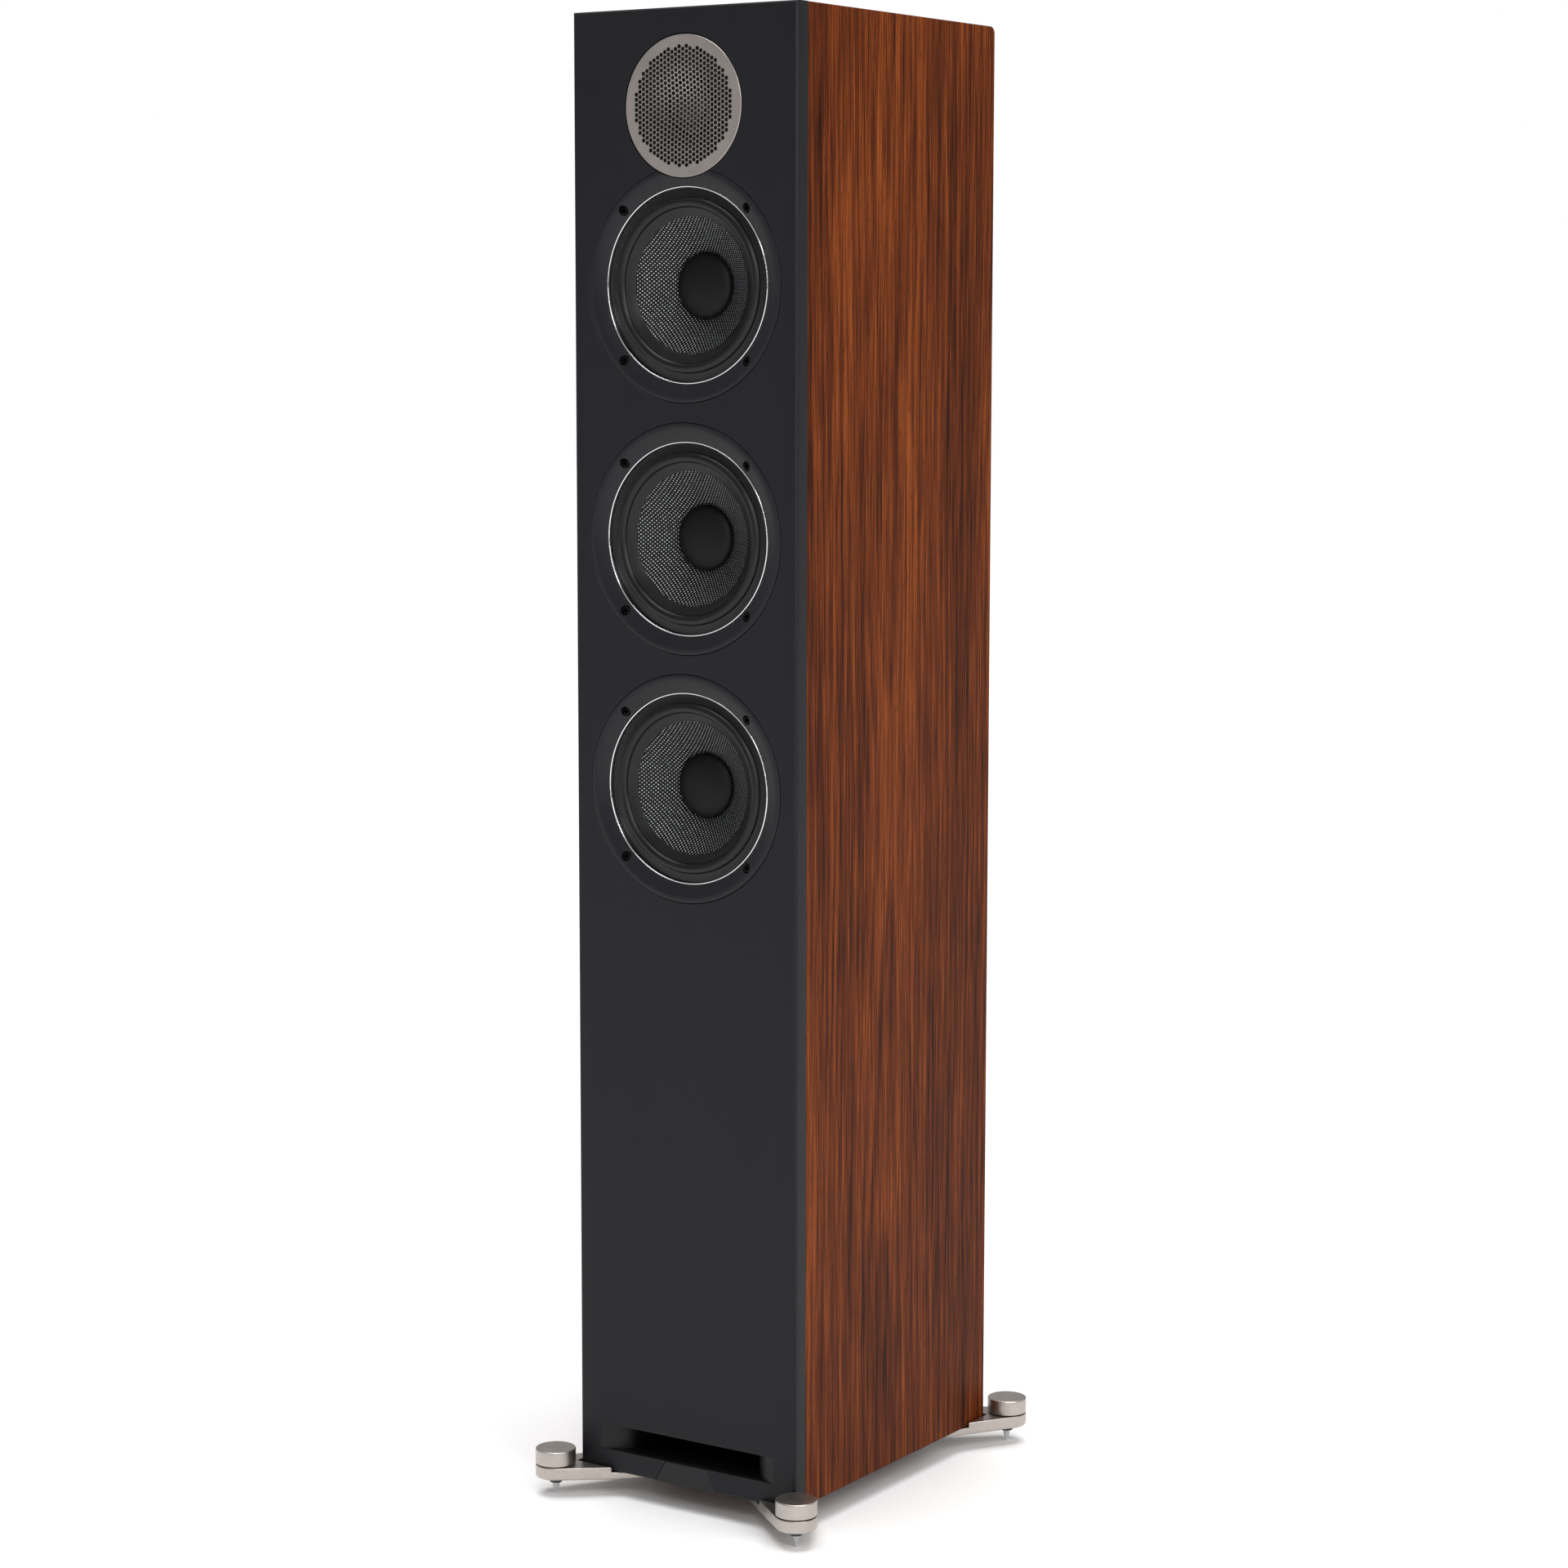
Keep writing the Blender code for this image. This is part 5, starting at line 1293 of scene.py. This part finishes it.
@dataclass
class Foot:
    """An outrigger foot: stepped arm, collar, knob and spike.

    Attributes:
        name: the foot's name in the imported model.
        arm_length: from the knob's axis to the arm's inner end.
        arm_angle: from the X axis to the arm's middle line, in degrees.
        divergence: how far each side of the arm turns out, in degrees.
        lower_edge: rounding of the arm's lower edge.
        notch_gap: clearance between the raised part and the cabinet.
        knob_edge: rounding of the knob.
        arm_thickness: thickness of the arm.
        stud_bore: radius of the holes that the stud passes through.
        bolt_reach: how far in from the knob's axis each bolt sits.
    """

    name: str
    arm_length: float = 0.072
    arm_angle: float = 48.0
    divergence: float = 9.0
    lower_edge: float = 0.002
    notch_gap: float = 0.002
    knob_edge: float = 0.0009
    arm_thickness: float = 0.009
    stud_bore: float = 0.0033
    bolt_reach: tuple[float, float] = (0.040, 0.062)

    def build(self) -> None:
        """Build and dress the foot."""
        low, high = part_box(self.name + "_knob")
        self.radius = (high.x - low.x) / 2
        self.knob_low, self.knob_high = low.z, high.z
        self.axis = Vector(((low.x + high.x) / 2, (low.y + high.y) / 2, 0.0))
        arm_low, arm_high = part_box(self.name + "_arm")
        self.arm_top, self.collar_low = arm_high.z, arm_low.z
        self.arm_low = self.arm_top - self.arm_thickness
        self.arm()
        self.collar()
        self.knob()
        self.spike()
        self.bolts()
        repaint(self.name + "_washer", NYLON)

    def inward(self) -> float:
        """Which way the arm points, as an angle about Z."""
        angle = math.radians(self.arm_angle)
        side, end = math.copysign(1, self.axis.x), math.copysign(1, self.axis.y)
        return math.atan2(-end * math.sin(angle), -side * math.cos(angle))

    def arm(self) -> None:
        """The arm: round at the knob, opening out under the cabinet, stepped to clear it."""
        turn, length, corner = math.radians(self.divergence), self.arm_length, 0.003
        spread = math.tan(turn)
        half_end = self.radius / math.cos(turn) + length * spread
        outline = arc((0, 0), (self.radius, self.radius), 90 + self.divergence, 270 - self.divergence, 40)
        outline += arc((length - corner, -half_end + corner), (corner, corner), -82, 0, 4)
        outline += arc((length - corner, half_end - corner), (corner, corner), 0, 82, 4)
        arm = plate(self.name + "_bracket", outline, self.arm_low, self.arm_top)
        bottom = self.arm_low + NEAR
        round_edges(arm, self.lower_edge, 4, lambda a, b: a.z < bottom and b.z < bottom)
        settle(arm, Matrix.Translation(self.axis) @ Matrix.Rotation(self.inward(), 4, "Z"))
        low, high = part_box("front_baffle")
        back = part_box("back_panel")[1].y
        gap, under, over = self.notch_gap, 0.0003, 0.02
        notch = block(
            "arm_notch", (low.x - gap, low.y - gap, low.z - under), (high.x + gap, back + gap, low.z + over),
        )
        combine(arm, notch)
        top = self.arm_top + OVERCUT
        bore = [(0.0, top), (self.stud_bore, top), (self.stud_bore, 0.0), (0.0, 0.0)]
        combine(arm, turned("stud_bore", bore, Matrix.Translation(self.axis), 24))
        soften(arm, 0.0005, 3, 50)
        settle(arm)
        dress(arm, "cabinet", NICKEL, (self.name + "_arm",))

    def collar(self) -> None:
        """The black collar round the stud, under the arm."""
        outer, inner, edge, play = 0.0045, self.stud_bore, 0.0006, 0.00005
        top, bottom = self.arm_low - play, self.collar_low
        outline = [(inner, bottom), (inner, top), (outer, top)]
        outline += arc((outer - edge, bottom + edge), (edge, edge), 0, -90, 4)
        ring = turned(self.name + "_collar", outline, Matrix.Translation(self.axis), 40)
        dress(ring, "cabinet", NYLON)

    def knob(self) -> None:
        """The height knob, hollowed below for its washer."""
        edge, radius, low, high = self.knob_edge, self.radius, self.knob_low, self.knob_high
        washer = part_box(self.name + "_washer")[1]
        play, room, socket = 0.0003, 0.0006, low + 0.0068
        recess = washer.z + play
        hollow = washer.x - self.axis.x + room
        outline = [(0.0, high)] + arc((radius - edge, high - edge), (edge, edge), 90, 0, 5)
        outline += arc((radius - edge / 2, low + edge / 2), (edge / 2, edge / 2), 0, -90, 4)
        outline += [(hollow, low), (hollow, recess), (self.stud_bore, recess), (self.stud_bore, socket)]
        outline += [(0.0, socket)]
        knob = turned(self.name + "_dial", outline, Matrix.Translation(self.axis), 96)
        dress(knob, self.name + "_screw", NICKEL, (self.name + "_knob",))

    def spike(self) -> None:
        """The threaded stud, drawn with its thread's crests, and the cone that it ends in."""
        low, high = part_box(self.name + "_spike")
        radius, pitch, chamfer, groove = 0.003, 0.001, 0.0003, 0.0004
        neck, blunt = 0.0009, 0.0005
        outline = [(0.0, high.z), (radius - chamfer, high.z)]
        turns = int((high.z - self.collar_low) / pitch)
        for turn in range(turns):
            crest = high.z - pitch * (turn + 0.5)
            outline += [(radius, crest), (radius - groove, crest - pitch / 2)]
        outline += [(radius, self.collar_low), (neck, blunt), (blunt, 0.0), (0.0, 0.0)]
        spike = turned(self.name + "_point", outline, Matrix.Translation(self.axis), 48)
        dress(spike, self.name + "_screw", CHROME, (self.name + "_spike",))

    def bolts(self) -> None:
        """Two pan-head bolts that hold the arm to the cabinet's base, seen from below."""
        radius, rise, play = 0.0042, 0.0018, 0.0001
        socket_radius, socket_length = 0.0018, 0.002
        top = self.arm_low - play
        outline = [(0.0, top - rise)] + arc((0.0, top), (radius, rise), 270, 360, 6)[1:] + [(0.0, top)]
        outline[-2] = (radius, top)
        first = turned(self.name + "_bolt_1", outline, Matrix.Identity(4), 32)
        select_only(None)
        bpy.ops.mesh.primitive_cylinder_add(
            vertices=6, radius=socket_radius, depth=socket_length, location=(0, 0, top - rise),
        )
        combine(first, bpy.context.active_object)
        settle(first)
        along_arm = Matrix.Translation(self.axis) @ Matrix.Rotation(self.inward(), 4, "Z")
        places = [along_arm @ Matrix.Translation((reach, 0, 0)) for reach in self.bolt_reach]
        other = copied(first, self.name + "_bolt_2", places[1])
        dress(other, "cabinet", BLACK_OXIDE)
        settle(first, places[0])
        dress(first, "cabinet", BLACK_OXIDE)


# ---- terminals ----------------------------------------------------------------------------


class Marker(enum.Enum):
    """The marker ring on a binding post: which side it is on, and its finish."""

    LEFT = ("left", MARK_BLACK)
    RIGHT = ("right", MARK_RED)


@dataclass
class Terminals:
    """The rear cup, its screws, and the two binding posts with ribbed caps.

    Attributes:
        flange: thickness of the cup's flange.
        border: width of the flange.
        corner: rounding of the cup's corners.
        wall: thickness of the cup.
        ribs: number of ribs on a cap.
        post_bore: radius of the holes that a post passes through.
        post_offset: from the cup's middle to each post.
    """

    flange: float = 0.0022
    border: float = 0.009
    corner: float = 0.008
    wall: float = 0.0025
    ribs: int = 18
    post_bore: float = 0.0033
    post_offset: float = 0.0095

    def build(self) -> None:
        """Build and dress the cup, the screws and the posts."""
        self.low, self.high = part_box("terminal_cup")
        self.centre = (self.low + self.high) / 2
        self.cup()
        self.screws()
        for marker in Marker:
            self.post(marker)

    def outward(self, x: float, y: float, z: float) -> Matrix:
        """From a lathe's axis to a place on the back: +Z turns to the rear."""
        return Matrix.Translation((x, y, z)) @ Matrix.Rotation(-math.pi / 2, 4, "X")

    def rounded(self, width: float, height: float, radius: float) -> list[tuple[float, float]]:
        """A rectangle's outline with round corners."""
        outline = []
        for side_x, side_y, start in ((1, 1, 0), (-1, 1, 90), (-1, -1, 180), (1, -1, 270)):
            middle = (side_x * (width / 2 - radius), side_y * (height / 2 - radius))
            outline += arc(middle, (radius, radius), start, start + 90, 8)
        return outline

    def cup(self) -> None:
        """The moulded cup: flange, recess and two post holes."""
        width, height = self.high.x - self.low.x, self.high.z - self.low.z
        depth = self.high.y - self.low.y
        shell = plate("cup", self.rounded(width, height, self.corner), depth - self.flange, depth)
        inner = (width - 2 * self.border, height - 2 * self.border)
        body = plate("cup_body", self.rounded(*inner, self.corner), 0.0, depth - self.flange / 2)
        combine(shell, body, "UNION")
        dish = self.rounded(inner[0] - 2 * self.wall, inner[1] - 2 * self.wall, self.corner - self.wall)
        combine(shell, plate("cup_dish", dish, self.wall, depth + OVERCUT))
        over, under = 0.006, -0.002
        hole = [(0.0, over), (self.post_bore, over), (self.post_bore, under), (0.0, under)]
        for x in (-self.post_offset, self.post_offset):
            combine(shell, turned("post_hole", hole, Matrix.Translation((x, 0, 0)), 24))
        soften(shell, 0.0005, 3)
        settle(shell, self.outward(self.centre.x, self.low.y, self.centre.z))
        dress(shell, "cabinet", BLACK_ABS, ("terminal_cup",))

    def screws(self) -> None:
        """Four pan-head screws at the flange's corners."""
        radius, rise, play = 0.003, 0.0014, 0.00005
        outline = [(0.0, rise)] + arc((0.0, 0.0), (radius, rise), 90, 8, 6)[1:]
        outline += [(radius, play), (0.0, play)]
        first = turned("cup_screw_1", outline, Matrix.Identity(4), 32)
        arm, half_width, floor, over = 0.0016, 0.0003, rise - 0.0007, rise + 0.001
        for x, y in ((arm, half_width), (half_width, arm)):
            combine(first, block("drive_slot", (-x, -y, floor), (x, y, over)))
        settle(first)
        inset = self.border / 2 + 0.0005
        places = [
            self.outward(x, self.high.y, z)
            for x in (self.low.x + inset, self.high.x - inset)
            for z in (self.low.z + inset, self.high.z - inset)
        ]
        for index, place in enumerate(places[1:], 2):
            other = copied(first, f"cup_screw_{index}", place)
            dress(other, "cabinet", BLACK_OXIDE)
        settle(first, places[0])
        dress(first, "cabinet", BLACK_OXIDE)

    def post(self, marker: Marker) -> None:
        """One binding post: gilt stud, ribbed screw cap and its marker ring."""
        side, ring_finish = marker.value
        low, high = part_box("binding_post_" + side)
        x, z = (low.x + high.x) / 2, (low.z + high.z) / 2
        floor = self.low.y + self.wall
        place = self.outward(x, floor, z)
        top, tail = high.y - floor, low.y - floor
        pitch, shank, groove = 0.001, 0.003, 0.0003
        hollow, hollow_floor, chamfer = 0.0021, 0.0036, 0.0004
        outline = [(0.0, hollow_floor), (hollow, hollow_floor), (hollow, top - chamfer), (0.0024, top)]
        outline += [(shank - groove, top)]
        for turn in range(int((top - 0.006) / pitch)):
            crest = top - 0.0005 - pitch * turn
            outline += [(shank, crest), (shank - groove, crest - pitch / 2)]
        outline += [(shank, 0.0035), (0.0066, 0.0033), (0.007, 0.0029), (0.007, 0.0003), (shank, 0.0003)]
        outline += [(shank, tail), (0.0, tail)]
        stud = turned("post_" + side, outline, place, 48)
        dress(stud, "cabinet", GOLD_PLATE, ("binding_post_" + side,))
        cap_low, cap_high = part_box("post_cap_" + side)
        start, end, band = cap_low.y - floor, cap_high.y - floor, 0.002
        outer = (cap_high.x - cap_low.x) / 2
        ribbed = []
        valley = outer - 0.0006
        for rib in range(self.ribs):
            first_angle = 360 * rib / self.ribs
            for share, radius in ((0.0, valley), (0.15, outer), (0.5, outer), (0.65, valley)):
                angle = math.radians(first_angle + 360 / self.ribs * share)
                ribbed.append((radius * math.cos(angle), radius * math.sin(angle)))
        cap = plate("cap_" + side, ribbed, start, end - band - 0.0001)
        under, over = start - 0.002, end + 0.002
        bore = [(0.0, under), (self.post_bore, under), (self.post_bore, over), (0.0, over)]
        combine(cap, turned("cap_bore", bore, Matrix.Identity(4), 32))
        soften(cap, 0.0002, 2)
        settle(cap, place)
        dress(cap, f"terminal_{side}_screw", CAP_BLACK, ("post_cap_" + side,))
        edge, reach = 0.0005, outer - 0.0004
        ring = [(self.post_bore, end - band), (reach, end - band)]
        ring += arc((reach - edge, end - edge), (edge, edge), 0, 90, 4) + [(self.post_bore, end)]
        ring = turned("marker_" + side, ring, place, 48)
        dress(ring, f"terminal_{side}_screw", ring_finish)
        repaint("post_washer_" + side, GOLD_PLATE)


# ---- studio -------------------------------------------------------------------------------


@dataclass
class Studio:
    """The pale floor, the soft lights and the camera.

    Attributes:
        eye: the camera's place.
        turn, tilt, roll: which way it looks, in radians.
        lens_mm: its lens on a 36 mm sensor.
        floor_size: side of the floor.
    """

    eye: tuple[float, float, float] = (1.3814, -2.0783, 0.8084)
    turn: float = 0.5876
    tilt: float = 0.1258
    roll: float = 0.0012
    lens_mm: float = 82.48
    floor_size: float = 30.0

    def build(self) -> None:
        """Build the floor, the lights and the camera."""
        self.floor()
        self.lights()
        self.camera()

    def floor(self) -> None:
        """A plain pale floor, bevelled at its far edge."""
        half = self.floor_size / 2
        slab = block("floor", (-half, -half, -0.05), (half, half, -0.0002))
        soften(slab, 0.01)
        settle(slab)
        slab.data.materials.append(FLOOR.make())

    def lights(self) -> None:
        """A bright room, an overhead light for the floor, and three softboxes."""
        white, room, backdrop = (1.0, 1.0, 1.0, 1.0), 0.40, 1.0
        world = bpy.data.worlds.new("studio")
        world.use_nodes = True
        tree = world.node_tree
        output = tree.nodes["World Output"]
        light = tree.nodes["Background"]
        light.inputs["Color"].default_value = white
        light.inputs["Strength"].default_value = room
        seen = add_node(tree, "ShaderNodeBackground", {"Color": white, "Strength": backdrop})
        ray = add_node(tree, "ShaderNodeLightPath").outputs["Is Camera Ray"]
        mixed = add_node(
            tree, "ShaderNodeMixShader",
            {0: ray, 1: light.outputs[0], 2: seen.outputs[0]},
        )
        tree.links.new(mixed.outputs[0], output.inputs["Surface"])
        bpy.context.scene.world = world
        self.sun("overhead", (0.0, 0.0, 0.0), 2.8, 50.0)
        self.softbox("key_right", (2.8, -0.9, 1.9), (1.4, 2.0), 42.0)
        self.softbox("edge_strip", (1.9, -2.9, 1.3), (0.10, 2.2), 9.0)
        self.softbox("cone_key", (1.6, -2.4, 2.2), (0.6, 0.6), 14.0)

    def sun(self, name: str, turn: tuple[float, float, float], strength: float, spread: float) -> None:
        """Add a broad light from far away.

        Args:
            name: the light's name.
            turn: its rotation in radians. None points it straight down.
            strength: its strength in watts per square metre.
            spread: its angle across, in degrees.
        """
        select_only(None)
        bpy.ops.object.light_add(type="SUN", location=(0, 0, 5), rotation=turn)
        lamp = bpy.context.active_object
        lamp.name = name
        lamp.data.energy = strength
        lamp.data.angle = math.radians(spread)

    def softbox(
        self, name: str, spot: tuple[float, float, float], size: tuple[float, float], power: float,
    ) -> None:
        """Add a softbox that looks at the middle of the speaker.

        Args:
            name: the light's name.
            spot: its place.
            size: its width and height.
            power: its power in watts.
        """
        aim = Vector((0.0, 0.0, 0.5)) - Vector(spot)
        select_only(None)
        bpy.ops.object.light_add(
            type="AREA", location=spot, rotation=aim.to_track_quat("-Z", "Y").to_euler(),
        )
        lamp = bpy.context.active_object
        lamp.name = name
        lamp.data.shape = "RECTANGLE"
        lamp.data.size, lamp.data.size_y = size
        lamp.data.energy = power

    def camera(self) -> None:
        """The camera, with its focus everywhere and no shift."""
        select_only(None)
        bpy.ops.object.camera_add()
        eye = bpy.context.active_object
        eye.name = "camera"
        eye.matrix_world = (
            Matrix.Translation(self.eye)
            @ Matrix.Rotation(self.turn, 4, "Z")
            @ Matrix.Rotation(math.pi / 2 - self.tilt, 4, "X")
            @ Matrix.Rotation(self.roll, 4, "Z")
        )
        eye.data.lens = self.lens_mm
        eye.data.sensor_width = 36.0
        eye.data.clip_end = 100.0
        bpy.context.scene.camera = eye
        bpy.context.scene.view_settings.view_transform = "Standard"


def main() -> None:
    """Build the speaker and its studio."""
    logging.basicConfig(level=logging.INFO, format="%(name)s: %(message)s")
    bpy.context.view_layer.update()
    Cabinet().build()
    for name in WOOFERS:
        Woofer(name).build()
    Tweeter().build()
    for name in ("foot_front_left", "foot_front_right", "foot_rear_left", "foot_rear_right"):
        Foot(name).build()
    Terminals().build()
    repaint("crossover_board", CIRCUIT)
    Studio().build()
    select_only(None)


if __name__ == "__main__":
    main()
